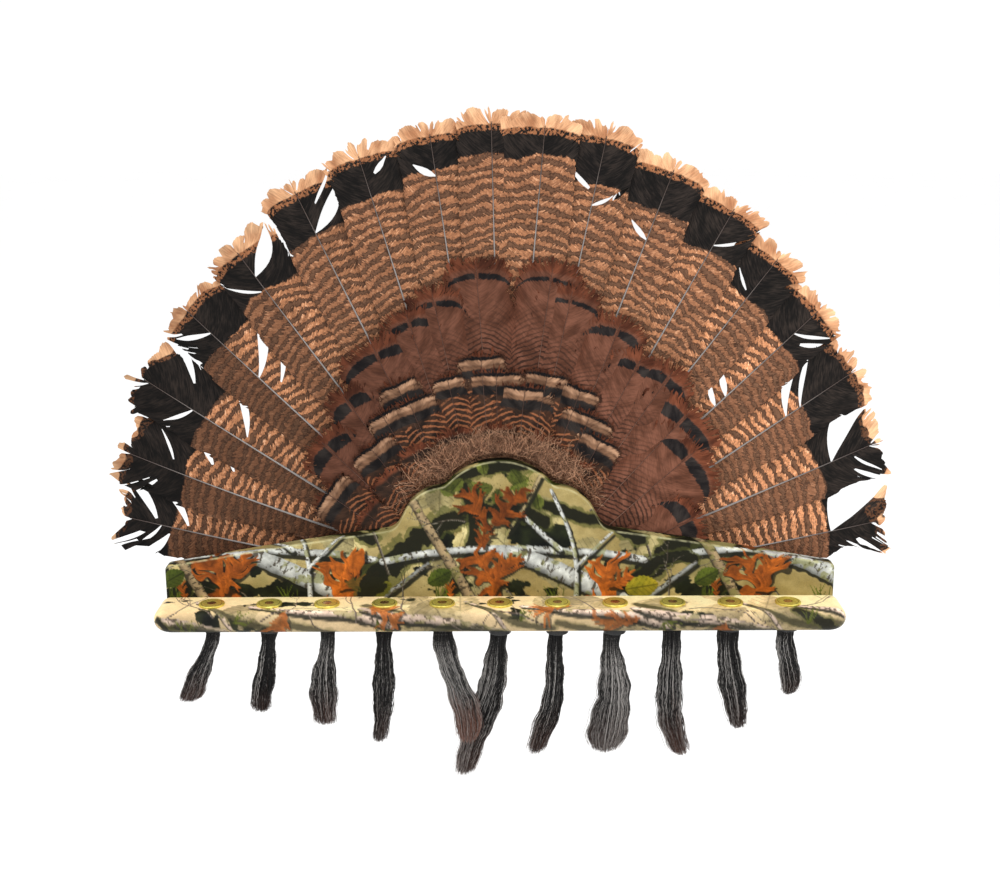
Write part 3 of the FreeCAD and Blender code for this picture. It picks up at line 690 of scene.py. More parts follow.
def paint_pattern(film, shift, seed):
    """One repeat of the film's pattern: boughs, limbs, a birch trunk, twigs and oak leaves."""
    def along(*points):
        return curve_through([(x + shift, z) for x, z in points])

    film.bough(along((-118, 8), (-84, 44), (-44, 70), (6, 80), (44, 68)), 20, 13, seed)
    film.bough(along((-66, -30), (-40, 10), (-22, 60), (-34, 112)), 10, 9, seed + 1)
    film.bough(along((34, 88), (70, 74), (96, 70), (128, 52)), 9, 12, seed + 2)
    film.bough(along((92, -24), (120, 14), (150, 36), (176, 34)), 12, 9, seed + 3)
    film.bough(along((-60, 104), (-20, 116), (40, 124)), 9, 10, seed + 4)
    film.needles((10 + shift, 100), 40, 26, 14, seed + 5)
    for number in range(16):
        film.broad_leaf((-52 + 6.5 * number + shift, 104 + 9 * math.sin(number * 2.3)), 77 * number,
                        15, seed + 400 + number, (0.15, 0.18, 0.06), (0.46, 0.48, 0.20), 0.9)
    film.needles((-52 + shift, -8), 80, 24, 12, seed + 6)
    film.needles((52 + shift, -10), 100, 24, 12, seed + 7)
    film.limb(along((-104, 33), (-60, 41), (-1, 45), (60, 42), (94, 40), (134, 33)), 6.5, 6.5,
              seed + 20, 0.80)
    film.limb(along((2, 42), (30, 34), (60, 20), (94, 4), (124, -20)), 14, 20, seed + 40, 0.80)
    film.limb(along((-82, 98), (-62, 62), (-40, 24), (-20, -14)), 7.5, 9, seed + 60, 0.74,
              (0.86, 0.74, 0.55))
    film.limb(along((20, 76), (38, 58), (56, 42)), 4, 5, seed + 80, 0.85)
    film.limb(along((68, -24), (68, 28), (61, 62), (43, 104)), 4.4, 2.8, seed + 90, 0.82)
    film.limb(along((68, 27), (84, 44), (102, 62)), 3.2, 2.2, seed + 91, 0.82)
    film.limb(along((36, 112), (22, 84), (3, 54)), 3.4, 2.4, seed + 92, 0.72, (0.90, 0.80, 0.58))
    film.twig(along((-112, 62), (-106, 44), (-98, 18)), 2.4, 2.0, seed + 93)
    film.limb(along((134, 0), (150, 12), (178, 34)), 4.5, 3.5, seed + 94, 0.55)
    for x, z, angle, length in ((-100, 0, 60, 50), (20, -14, 100, 60), (150, -10, 110, 46),
                                (-30, 70, 150, 40), (80, 80, 20, 40)):
        film.branching_twig((x + shift, z), angle, length, 1.7, seed + 100 + abs(x))
    for x, z, angle, length, warm in ((-14, 46, 86, 26, 0.0), (-10, 66, 120, 40, 0.0),
                                      (-4, 68, 58, 38, 0.05), (-2, -4, 112, 54, 0.4),
                                      (-6, 6, 62, 42, 0.6), (94, -10, 82, 54, 0.85),
                                      (-44, 0, 100, 16, 0.8), (98, 8, 32, 28, 0.7)):
        film.oak_leaf((x + shift, z), angle, length, seed + 200 + abs(x) + abs(z), warm)
    film.broad_leaf((112 + shift, 6), 10, 30, seed + 300)
    film.broad_leaf((-64 + shift, 12), 30, 24, seed + 310, (0.16, 0.20, 0.07), (0.34, 0.38, 0.12))


def paint_board(u, v):
    """The film's colours over the board: litter and shadows, then the pattern three times."""
    film = Film(u, v)
    film.ground(11)
    film.litter(13, 34, 300, -20, 115)
    film.shadows(23, 0.27)
    for shift in (-FILM_REPEAT, FILM_REPEAT, 0.0):
        paint_pattern(film, shift, 200)
    return film.colours()


# The shelf's limbs and boughs: points across and up, width at each end, and seed.  The boughs
# at its ends don't repeat, and have their points and seed.
SHELF_LIMBS = ((((-120, 12), (-90, 2), (-40, -4), (4, -14)), 9, 6, 1200),
               (((20, 18), (60, 8), (110, 4), (150, -8)), 6, 10, 1220),
               (((-30, 30), (-6, 6), (14, -26)), 4, 3, 1240))
SHELF_BOUGHS = ((((-90, -34), (-40, -10), (10, -22)), 6, 11, 1300),
                (((50, -4), (90, -16), (130, -34)), 5, 11, 1310),
                (((-20, 20), (10, -2), (50, -12)), 3, 7, 1320),
                (((120, 22), (150, 6), (160, -10)), 6, 4, 1330))
SHELF_ENDS = ((((258, 8), (282, -6), (304, -22)), 1360),
              (((-304, 0), (-290, -14), (-262, -28)), 1365),
              (((262, -30), (282, -24), (300, -30)), 1369))


def paint_shelf(u, v):
    """The same film, washed out and drawn longer over the shelf's bend, with painted light."""
    film = Film(u, v)
    film.ground(31)
    film.rgb = film.rgb * 0.4 + np.array([0.93, 0.85, 0.66]) * 0.6
    film.litter(33, 30, 305, -45, 45)
    film.shadows(47, 0.06)
    for shift in (-FILM_REPEAT, 0.0, FILM_REPEAT):
        for points, first, last, seed in SHELF_LIMBS:
            line = curve_through([(x + shift, z) for x, z in points])
            film.limb(line, first, last, seed, 0.80, (1.0, 0.92, 0.80))
        for points, first, last, seed in SHELF_BOUGHS:
            line = curve_through([(x + shift, z) for x, z in points])
            film.bough(line, first, last, seed, 0.55)
    for points, seed in SHELF_ENDS:
        film.bough(curve_through(points), 8, 13, seed)
    for number, x in enumerate(np.linspace(-290, 290, 15)):
        film.branching_twig((x, 25 * math.sin(number * 3.1)), 40 + 100 * math.sin(number * 1.7), 60,
                            1.6, 1400 + 9 * number)
        film.needles((x + 18, -20 + 18 * math.sin(number * 2)), 90 * math.cos(number), 22, 7,
                     1600 + number)
    for number, x in enumerate((-188, -112, -52, 58, 118, 196)):
        film.oak_leaf((x, 2 + 20 * math.sin(number * 2.4)), 250 + 75 * math.sin(number * 1.3), 36,
                      1800 + 10 * number, 0.8 + 0.2 * math.sin(number), 0.72)
    # painted light: the top is lighter, the nose and underside darker, and all colours are lifted a
    # little
    light = (0.84 + 0.36 * smooth((v + 3) / 14))[:, None]
    film.rgb = film.rgb * light * np.array([1.02, 0.97, 0.98]) + 0.05
    return film.colours()


# ------------------------------------------------------------------ board and shelf

SLAB_PITCH = 0.9                # between points along a slab's outline
WELD_GRAIN = 0.02
BOARD_ROWS, BOARD_BACK_ROWS = 104, 40
SHELF_TOP_ROWS, SHELF_UNDER_ROWS = 40, 16
BACK_RECESS = 0.1               # lets the screw heads in the board's back stand clear
BOARD_EDGE_R = 3.0
ABOVE_HOLES = 18.0              # the board's back has no hole above this height
SIDES_FROM = 294.0              # further out than this, the board's outline turns down its sides
NOSE_R, SHELF_CORNER_R = 9.4, 18.0
BORE_R = 10.3


def round_over(radius, thickness, both=False):
    """A slab's edge from its face to its back, as (inset, depth) pairs."""
    turns = np.linspace(0, math.pi / 2, 10 if both else 6)
    arc = [(radius * (1 - math.sin(a)), radius * (1 - math.cos(a))) for a in turns]
    if both:
        return arc + [(inset, thickness - depth) for inset, depth in reversed(arc)]
    return arc + [(0.0, depth) for depth in np.linspace(radius, thickness, 10)[1:]]


def resampled(line, pitch):
    """Evenly spaced points along a polyline."""
    run = np.concatenate([[0], np.cumsum(np.hypot(*np.diff(line, axis=0).T))])
    at = np.linspace(0, run[-1], int(run[-1] / pitch) + 1)
    return np.stack([np.interp(at, run, line[:, 0]), np.interp(at, run, line[:, 1])], axis=1)


def slab(line, base, profile, rows, back_rows):
    """A closed slab.  Its outline runs from one side over the top to the other, and straight
    down to a flat base.  Points are across, up and depth behind the face."""
    line = resampled(line, SLAB_PITCH)
    along = np.gradient(line, axis=0)
    along[0], along[-1] = (0, 1), (0, -1)
    along /= np.hypot(*along.T)[:, None]
    outward = np.stack([-along[:, 1], along[:, 0]], axis=1)
    profile = np.array(profile)
    points, faces = [], []

    def grid(block, flip):
        """Adds a grid of points, rows by columns, and its quads."""
        rows_in, columns = block.shape[:2]
        first = sum(len(p) for p in points)
        index = first + np.arange(rows_in * columns).reshape(rows_in, columns)
        quad = np.stack([index[:-1, :-1], index[:-1, 1:], index[1:, 1:], index[1:, :-1]], -1)
        quad = quad.reshape(-1, 4)
        points.append(block.reshape(-1, 3))
        faces.append(quad[:, ::-1] if flip else quad)

    def fill(inset, depth, count, flip):
        """The flat face inside the edge, in columns down to the base."""
        top = line - inset * outward
        t = np.linspace(0, 1, count + 1)[:, None]
        up = top[None, :, 1] * (1 - t) + base * t
        block = np.stack([np.broadcast_to(top[None, :, 0], up.shape), up,
                          np.full(up.shape, depth)], axis=-1)
        grid(block, flip)
        return block

    def edge_block(corners, normals):
        """The rounded edge: the profile, set in from each corner along its normal."""
        return np.stack([corners[None, :, 0] - profile[:, 0, None] * normals[None, :, 0],
                         corners[None, :, 1] - profile[:, 0, None] * normals[None, :, 1],
                         np.broadcast_to(profile[:, 1, None], (len(profile), len(corners)))], -1)

    front = fill(profile[0, 0], profile[0, 1], rows, False)
    fill(profile[-1, 0], profile[-1, 1], back_rows, True)
    grid(edge_block(line, outward), True)
    for column, flip in ((0, False), (-1, True)):
        heights = front[:, column, 1]
        side = np.stack([np.full(len(heights), line[column, 0]), heights], axis=1)
        normals = np.broadcast_to(outward[column], side.shape)
        grid(edge_block(side, normals), flip)
    points, quads = weld(np.concatenate(points), np.concatenate(faces), WELD_GRAIN)
    # the base: the face's lowest row, one side's profile, the back's lowest row, the other's
    low = np.flatnonzero(np.abs(points[:, 1] - base) < 1e-3)
    centre = points[low][:, [0, 2]].mean(0)
    rim = points[low][:, [0, 2]] - centre
    order = low[np.argsort(np.arctan2(rim[:, 1] * 20, rim[:, 0]))]
    return points, [list(q) for q in quads] + [list(order)]


def top_of_board():
    """The CAD board's outline over the crest, from its back face, above all its screw holes."""
    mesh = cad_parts["front_board"].data
    points = np.array([vertex.co for vertex in mesh.vertices]) / MM
    top = points[(np.abs(points[:, 1] - BOARD_BACK) < 0.05) & (points[:, 2] > ABOVE_HOLES)]
    top = top[np.argsort(top[:, 0])][:, [0, 2]]
    left, right = top[top[:, 0] < -SIDES_FROM], top[top[:, 0] > SIDES_FROM]
    middle = top[np.abs(top[:, 0]) <= SIDES_FROM]
    return np.concatenate([left[np.argsort(left[:, 1])], middle, right[np.argsort(-right[:, 1])]])


def camo_board(film):
    """The front board, with the film over its face, edges and back."""
    thickness = BOARD_BACK - BOARD_FRONT - BACK_RECESS
    points, faces = slab(top_of_board(), BOARD_LOW[2], round_over(BOARD_EDGE_R, thickness),
                         BOARD_ROWS, BOARD_BACK_ROWS)
    points = np.stack([points[:, 0], BOARD_FRONT + points[:, 2], points[:, 1]], axis=1)
    depth = points[:, 1] - BOARD_FRONT
    sides = smooth((np.abs(points[:, 0]) - SIDES_FROM) / 3) * np.sign(points[:, 0])
    colours = paint_board(points[:, 0] + sides * depth, points[:, 2] + depth)
    # a painted highlight along the rounded front edge
    colours = edge_highlight(colours, points, below_outline(points), depth)
    make_piece("front_board_film", points, faces, [film], "root", ["front_board"],
               {"colour_camo": colours})


def below_outline(points):
    """How far each point of the board is below its top outline."""
    top = top_of_board()
    return np.interp(points[:, 0], top[:, 0], top[:, 1]) - points[:, 2]


def edge_highlight(colours, points, below, depth):
    """A painted highlight: the film is lightened towards a pale colour along the middle of the
    rounded front edge.
    """
    rough = cloud(points[:, 0] / 6, points[:, 2] / 6 + points[:, 1] / 6, 77)
    away = np.hypot(below - 0.9, depth - 0.9)
    # the painted highlight, broken up by noise
    highlight = smooth(1 - away / 1.5) * np.clip(1.6 * rough - 0.35, 0, 0.7)
    base = linear([0.80, 0.78, 0.60])
    return colours * (1 - highlight[:, None]) + base * highlight[:, None]


def cut_bores(piece, low, high):
    """Cuts a bore through the piece at every shell."""
    knife = bmesh.new()
    for shell in SHELLS:
        centre = np.mean(box_mm("brass_head_" + shell), axis=0)
        place = Matrix.Translation(Vector((centre[0], centre[1], (low + high) / 2)) * MM)
        bmesh.ops.create_cone(knife, cap_ends=True, segments=96, radius1=BORE_R * MM,
                              radius2=BORE_R * MM, depth=(high - low) * MM, matrix=place)
    mesh = bpy.data.meshes.new("bore_knife")
    knife.to_mesh(mesh)
    knife.free()
    cutter = bpy.data.objects.new("bore_knife", mesh)
    bpy.context.scene.collection.objects.link(cutter)
    modifier = piece.modifiers.new("bores", "BOOLEAN")
    modifier.object, modifier.operation, modifier.solver = cutter, "DIFFERENCE", "EXACT"
    cut = bpy.data.meshes.new_from_object(piece.evaluated_get(
        bpy.context.evaluated_depsgraph_get()))
    piece.modifiers.clear()
    piece.data = cut
    bpy.data.objects.remove(cutter)


def camo_shelf(film):
    """The shelf is a slab lying down: its outline is its plan, from the board forwards."""
    low, high, nose, corner = SHELF_LOW, SHELF_HIGH, NOSE_R, SHELF_CORNER_R
    half, front, thickness = high[0], low[1], high[2] - low[2]
    turns = np.linspace(0, math.pi / 2, 24)
    right = np.stack([half - corner + corner * np.cos(turns),
                      -front - corner + corner * np.sin(turns)], axis=1)
    line = np.concatenate([right * (-1, 1), right[::-1]])
    points, faces = slab(line, -high[1], round_over(nose, thickness, True), SHELF_TOP_ROWS,
                         SHELF_UNDER_ROWS)
    points = np.stack([points[:, 0], -points[:, 1], high[2] - points[:, 2]], axis=1)
    faces = [face[::-1] for face in faces]
    piece = make_piece("shelf_film", points, faces, [film], "root", ["shelf"])
    cut_bores(piece, low[2] - 2, high[2] + 2)
    points = np.array([vertex.co for vertex in piece.data.vertices]) / MM
    # unrolled runs over the surface: along the underside, up round the nose and back on the top
    inward = points[:, 1] - front
    turn = np.arctan2(points[:, 2] + thickness / 2, np.maximum(nose - inward, 1e-6))
    unrolled = np.where(inward > nose, inward, nose - nose * (math.pi / 2 - turn))
    unrolled = np.where((inward > nose) & (points[:, 2] < -thickness / 2),
                        nose - nose * math.pi - (inward - nose), unrolled)
    ends = smooth((np.abs(points[:, 0]) - half + corner) / corner) * np.sign(points[:, 0])
    colours = paint_shelf(points[:, 0] - ends * points[:, 2], unrolled)
    colour_points(piece.data, "colour_camo", colours)
    piece.data.polygons.foreach_set("use_smooth", np.ones(len(piece.data.polygons), bool))
    piece.data.set_sharp_from_angle(angle=math.radians(50))


# ------------------------------------------------------------------ strands

def strands(paths, radii, sides, rng):
    """Tapering hairs along paths, given as hairs by steps by place: flat with two sides, and
    round with more.  Returns their points and quads."""
    hairs, steps = paths.shape[:2]
    along = np.gradient(paths, axis=1)
    along /= np.linalg.norm(along, axis=2, keepdims=True) + 1e-9
    aim = rng.normal(size=(hairs, 1, 3))
    across = aim - (aim * along).sum(2, keepdims=True) * along
    across /= np.linalg.norm(across, axis=2, keepdims=True) + 1e-9
    other = np.cross(along, across)
    turns = np.arange(sides) * 2 * math.pi / sides
    ring = (across[:, :, None] * np.cos(turns)[None, None, :, None]
            + other[:, :, None] * np.sin(turns)[None, None, :, None])
    points = paths[:, :, None] + ring * radii[:, :, None, None]
    index = np.arange(hairs * steps * sides).reshape(hairs, steps, sides)
    faces = []
    for side in range(sides if sides > 2 else 1):
        nxt = (side + 1) % sides
        faces.append(np.stack([index[:, :-1, side], index[:, :-1, nxt], index[:, 1:, nxt],
                               index[:, 1:, side]], axis=-1).reshape(-1, 4))
    return points.reshape(-1, 3), np.concatenate(faces)


def strand_values(shade, along, warm, sides):
    """Each hair's shade, the place along it and its warmth, hairs by steps, for all its points."""
    rows = np.broadcast_arrays(shade, along, warm)
    return {"strand": np.stack([np.repeat(row.ravel(), sides) for row in rows], axis=1)}


# ------------------------------------------------------------------ feathers

FAN_X, FAN_Z = 2.0, -20.0
QUILL_START, VANE_START = 45.0, 104.0
BACK_LAYER, LAYER_STEP = -14.3, 0.8
OUTER_VANE, INNER_VANE = 32.0, 40.0

# Tail feathers from the middle out: degrees from upright, tip radius, depth of the black band,
# raggedness, sideways sweep of the root, how much the outer vane narrows behind its tip, and the
# gaps between barbs.  A gap has its side (-1 is the outer one), its place behind the tip at the
# vane's edge, where along the barbs it starts, is widest and ends, and its width.
LEFT_FEATHERS = (
    (1.0, 443.0, 34, 0.6, 2, 0.05, ()),
    (8.0, 437.0, 38, 0.5, -2, 0.05, ((-1, 19, 0.0, 0.25, 0.55, 5.5),)),
    (16.5, 432.0, 44, 0.5, 0, 0.05, ((1, 80, 0.6, 0.8, 1.2, 2.0), (1, 3, 0.2, 0.4, 0.6, 4.0))),
    (25.0, 424.0, 49, 0.6, 3, 0.09, ((1, 15, 0.0, 0.5, 0.98, 11.5), (1, 4, 0.3, 0.6, 1.0, 2.0))),
    (35.0, 405.0, 50, 0.7, 4, 0.09, ((1, 4, 0.0, 0.5, 0.98, 13.0), (-1, 26, 0.1, 0.5, 0.9, 2.0))),
    (45.0, 396.0, 51, 0.9, 3, 0.09, ((1, 61, 0.0, 0.8, 1.2, 9.0), (1, 82, 0.2, 0.8, 1.2, 5.0),
                                     (-1, 10, 0.0, 0.5, 0.8, 4.0))),
    (56.0, 388.0, 70, 1.0, 2, 0.09, ((1, 80, 0.12, 0.65, 1.2, 6.0), (1, 30, 0.5, 1.0, 1.2, 6.0),
                                     (-1, 34, 0.0, 0.4, 0.75, 3.0))),
    (66.5, 372.0, 62, 1.1, 12, 0.09, ((1, 60, 0.4, 0.8, 1.2, 5.5), (1, 79, 0.4, 0.8, 1.2, 4.0),
                                      (-1, 24, 0.4, 0.7, 1.2, 4.0), (1, 20, 0.2, 0.5, 0.8, 2.0))),
    (76.0, 357.0, 48, 1.3, 6, 0.15, ((1, 5, 0.05, 0.65, 1.2, 7.5), (1, 34, 0.05, 0.8, 1.2, 6.5),
                                     (-1, 12, 0.0, 0.4, 0.8, 3.0), (-1, 26, 0.2, 1.0, 1.2, 9.0))),
)
RIGHT_FEATHERS = (
    (5.0, 441.0, 35, 0.5, 0, 0.05, ()),
    (12.0, 440.0, 50, 0.5, -2, 0.05, ((1, 25, 0.05, 0.3, 0.6, 3.5), (-1, 44, 0.0, 0.25, 0.5, 2.5),
                                      (-1, 46, 0.5, 0.7, 0.95, 3.5))),
    (20.5, 429.0, 44, 0.5, 2, 0.05, ((1, 40, 0.0, 0.2, 0.45, 4.0),)),
    (29.0, 421.0, 51, 0.6, -2, 0.09, ((-1, 20, 0.0, 0.4, 0.9, 2.0),)),
    (37.0, 406.0, 51, 0.6, 2, 0.09, ((-1, 12, 0.6, 0.8, 1.2, 4.0), (1, 16, 0.1, 0.3, 0.5, 2.0))),
    (45.5, 396.0, 51, 0.7, 3, 0.09, ((1, 84, 0.0, 0.25, 0.5, 5.5), (1, 97, 0.0, 0.2, 0.45, 4.5),
                                     (-1, 10, 0.0, 0.4, 0.8, 2.5), (-1, 21, 0.25, 0.6, 1.0, 3.5))),
    (55.0, 386.0, 60, 0.9, 0, 0.09, ((1, 46, 0.0, 0.75, 1.2, 8.0), (1, 32, 0.0, 0.6, 1.0, 4.0))),
    (65.5, 373.0, 62, 0.9, 3, 0.09, ((1, 15, 0.0, 0.9, 1.2, 20.0), (-1, 14, 0.4, 0.8, 1.2, 4.0),
                                     (-1, 5, 0.1, 0.4, 0.8, 1.6))),
    (77.0, 357.0, 52, 1.0, 6, 0.42, ((1, 17, 0.0, 1.0, 1.2, 40.0), (-1, 8, 0.25, 0.6, 1.0, 5.0))),
)
# Coverts from left to right: degrees from upright, tip radius, half-width, and the thickness
# of the black stroke across it, in the row that has one
GREATER = ((-45, 231, 28, 12), (-35, 250, 24, 11), (-24, 275, 37, 9), (-17, 291, 26, 7),
           (-11.5, 303, 26, 6), (-4.5, 322, 30, 5), (8, 321, 30, 3.5), (12, 305, 30, 4.5),
           (21, 290, 28, 8), (28, 270, 24, 9), (34.5, 273, 27, 10), (42, 254, 42, 12),
           (50, 234, 42, 11), (64, 201, 27, 14))
MEDIAN = ((-54, 195, 24), (-37.5, 196, 23), (-30, 215, 17), (-22, 214, 25), (-22.5, 233, 20),
          (-13, 225, 15), (-4.5, 238, 22), (-1, 223, 26), (5.8, 211, 27), (10, 226, 22),
          (17.5, 221, 20), (22.5, 201, 25), (28.5, 186, 22))
LESSER = ((-52, 158, 18), (-40, 168, 18), (-27, 174, 19), (-14, 176, 19), (0, 176, 19),
          (13, 170, 19), (26, 160, 18))
COVERT_SHAFT_R = (0.8, 0.15)    # at its root and at its end
SHAFT_STEPS, SHAFT_SIDES = 44, 6
TAIL_LIGHT_SWING = 0.22               # how much the painted light brightens the right end of the fan over its middle
LEFT_OUTER_SHADE = 0.22                # painted shade on the outer vanes at the left end
WORN_FROM = 35.0                # tips are worn from this angle, fully at twice the angle


def in_fan(angle, radius, side, depth):
    """Points given along and across a spoke of the fan, and forward of the wall."""
    turn = math.radians(angle)
    return np.stack([FAN_X + radius * math.sin(turn) + side * math.cos(turn), depth,
                     FAN_Z + radius * math.cos(turn) - side * math.sin(turn)], axis=-1)


class Vane:
    """The shape of one kind of vane.  Its end is so long, and squarer with more power; its root
    is narrow times its full width, and its outline is resampled at a pitch.  Barbs are short at
    the very tip, run in segments, lie in clumps of these sizes, and come apart over a fringe
    where join is low.  Petal rounds the clumps off, pull draws them to points, spill and jitter
    vary how far they reach, and puff lifts the vane forward."""

    def __init__(self, end, power, fringe, clump, pitch=0.75, segments=8, narrow=0.6, short=5.0,
                 spill=0.9, puff=0.0, pull=0.1, join=0.45, jitter=1.0, petal=0.0):
        self.end, self.power, self.fringe, self.clump = end, power, fringe, clump
        self.pitch, self.segments, self.narrow, self.short = pitch, segments, narrow, short
        self.spill, self.puff, self.pull = spill, puff, pull
        self.join, self.jitter, self.petal = join, jitter, petal

    def end_curve(self, across, width):
        """How far behind the very tip the rounded end lies."""
        share = np.clip(np.abs(across) / width, 0, 1)
        return self.end * (1 - (1 - share ** self.power) ** (1 / self.power))

    def outline(self, length, width, slim, waist):
        """The vane's edge from its root round to its tip, as behind the tip and across."""
        sides = np.linspace(length, self.end, 140, endpoint=False)
        share = (length - sides) / (length - self.end)
        edge = width * (self.narrow + (1 - self.narrow) * smooth(share / 0.75))
        edge *= 1 - slim * (1 - share) ** 0.7
        edge *= 1 - waist * np.sin(math.pi * np.clip((sides - self.end) / 55, 0, 1))
        turn = np.linspace(math.pi / 2, 0, 90)
        tip = np.stack([self.end * (1 - np.cos(turn) ** (2 / self.power)),
                        width * np.sin(turn) ** (2 / self.power)], axis=1)
        return resampled(np.concatenate([np.stack([sides, edge], axis=1), tip]), self.pitch)

    def half(self, length, width, side, ragged, gaps, slim, waist, rng):
        """One side of a vane: its points as behind the tip, across and forward, its quads, and
        the barb and the place along it for every point."""
        # each barb has its end on the outline and its root on the shaft
        end_t, end_w = self.outline(length, width, slim, waist).T
        count = len(end_t)
        root_t = np.minimum(end_t + 0.84 * end_w + self.short * (1 - end_w / width) ** 1.5, length)
        barb = np.hypot(root_t - end_t, end_w)
        slope = np.arctan2(end_w, root_t - end_t)
        tattered = max(0.0, ragged - 0.7) * (slim > 0)

        # barbs lie in clumps: each barb's clump, its middle barb, and the place in it, -1 to 1
        clump = np.repeat(np.arange(count), rng.choice(self.clump, count))[:count]
        first = np.searchsorted(clump, np.arange(clump[-1] + 1))
        last = np.searchsorted(clump, np.arange(clump[-1] + 1), "right") - 1
        middle = ((first + last) // 2)[clump]
        place = (np.arange(count) - middle) / np.maximum((last - first)[clump] / 2, 1)
        # how loose the barbs are, how far they reach past the outline, and how long they are free
        fray = self.end * (2.6 + 5 * tattered)
        near_tip = smooth((fray - end_t) / (fray * 0.6))
        loose = 0.2 + 0.8 * near_tip
        reach = rng.normal(0, self.spill, count)[clump] * ragged - self.petal * place ** 2
        reach += 2 * self.spill * (value_noise(np.arange(count) / 14, 0 * end_t, 3) - 0.5)
        reach = np.clip(reach * loose, -9, 6) + rng.normal(0, self.jitter, count)
        fringe = self.fringe * loose * rng.uniform(0.6, 1.5, count)[clump] * (1 + 3 * tattered)

        # each barb's curve from its root to its end, as behind the tip (t) and across (w)
        f = 1 - (1 - np.linspace(0, 1, self.segments + 1)) ** 1.5
        tau = f[None] * np.clip(1 + reach / np.maximum(barb, 4), 0.5, 1.6)[:, None]
        bend_t = root_t - 0.30 * (root_t - end_t)
        t = ((1 - tau) ** 2 * root_t[:, None] + 2 * (1 - tau) * tau * bend_t[:, None]
             + tau ** 2 * end_t[:, None])
        w = 2 * (1 - tau) * tau * (0.55 * end_w)[:, None] + tau ** 2 * end_w[:, None]
        free = smooth(1 - barb[:, None] * (1 - tau) / fringe[:, None])

        # free ends bunch at the middle of their clump, and swirl and stand forward with it
        pull = (self.pull + tattered) * free
        t += (t[middle] - t) * pull
        w += (w[middle] - w) * pull
        swirl = rng.normal(-0.6, 1.9, count)[clump][:, None] * ragged * loose[:, None]
        t += swirl * free ** 2 * (1 + 2 * tattered)
        w += swirl * 0.6 * free ** 2 * (end_w / width)[:, None]
        forward = rng.normal(0.3, 1.3, count)[clump][:, None] * free ** 2 * ragged
        # closed says where neighbouring barbs hold together: not in a gap or between free clumps
        closed = np.ones((count - 1, self.segments), bool)
        for at, start, widest, end, opening in gaps:
            line = min(int(np.argmin(np.abs(end_t - at))), count - 2)
            away = np.arange(count) - line - 0.5
            part = np.interp(f, (start, widest, end), (0, 1, 1 if end > 1 else 0))
            turned = np.sign(away) * 0.5 * opening * np.exp(-np.abs(away) / (9 + 0.6 * opening))
            t -= np.outer(turned * np.sin(slope), np.sin(math.pi / 2 * part))
            w -= np.outer(turned * np.cos(slope), np.sin(math.pi / 2 * part))
            closed[line, (f[:-1] >= start) & (f[:-1] < end)] = False
        join = rng.uniform(self.join * 0.3, self.join * 3.2, count - 1)[:, None]
        apart = (clump[:-1] != clump[1:])[:, None] & (free[:-1, 1:] > join)
        closed &= ~apart
        index = np.arange(count * (self.segments + 1)).reshape(count, -1)
        quads = np.stack([index[:-1, :-1], index[1:, :-1], index[1:, 1:], index[:-1, 1:]], -1)
        number = np.broadcast_to(np.arange(count)[:, None], t.shape)
        return (np.stack([t, side * w, forward], -1).reshape(-1, 3), quads[closed],
                number.ravel() + 0.0, (tau * barb[:, None]).ravel())


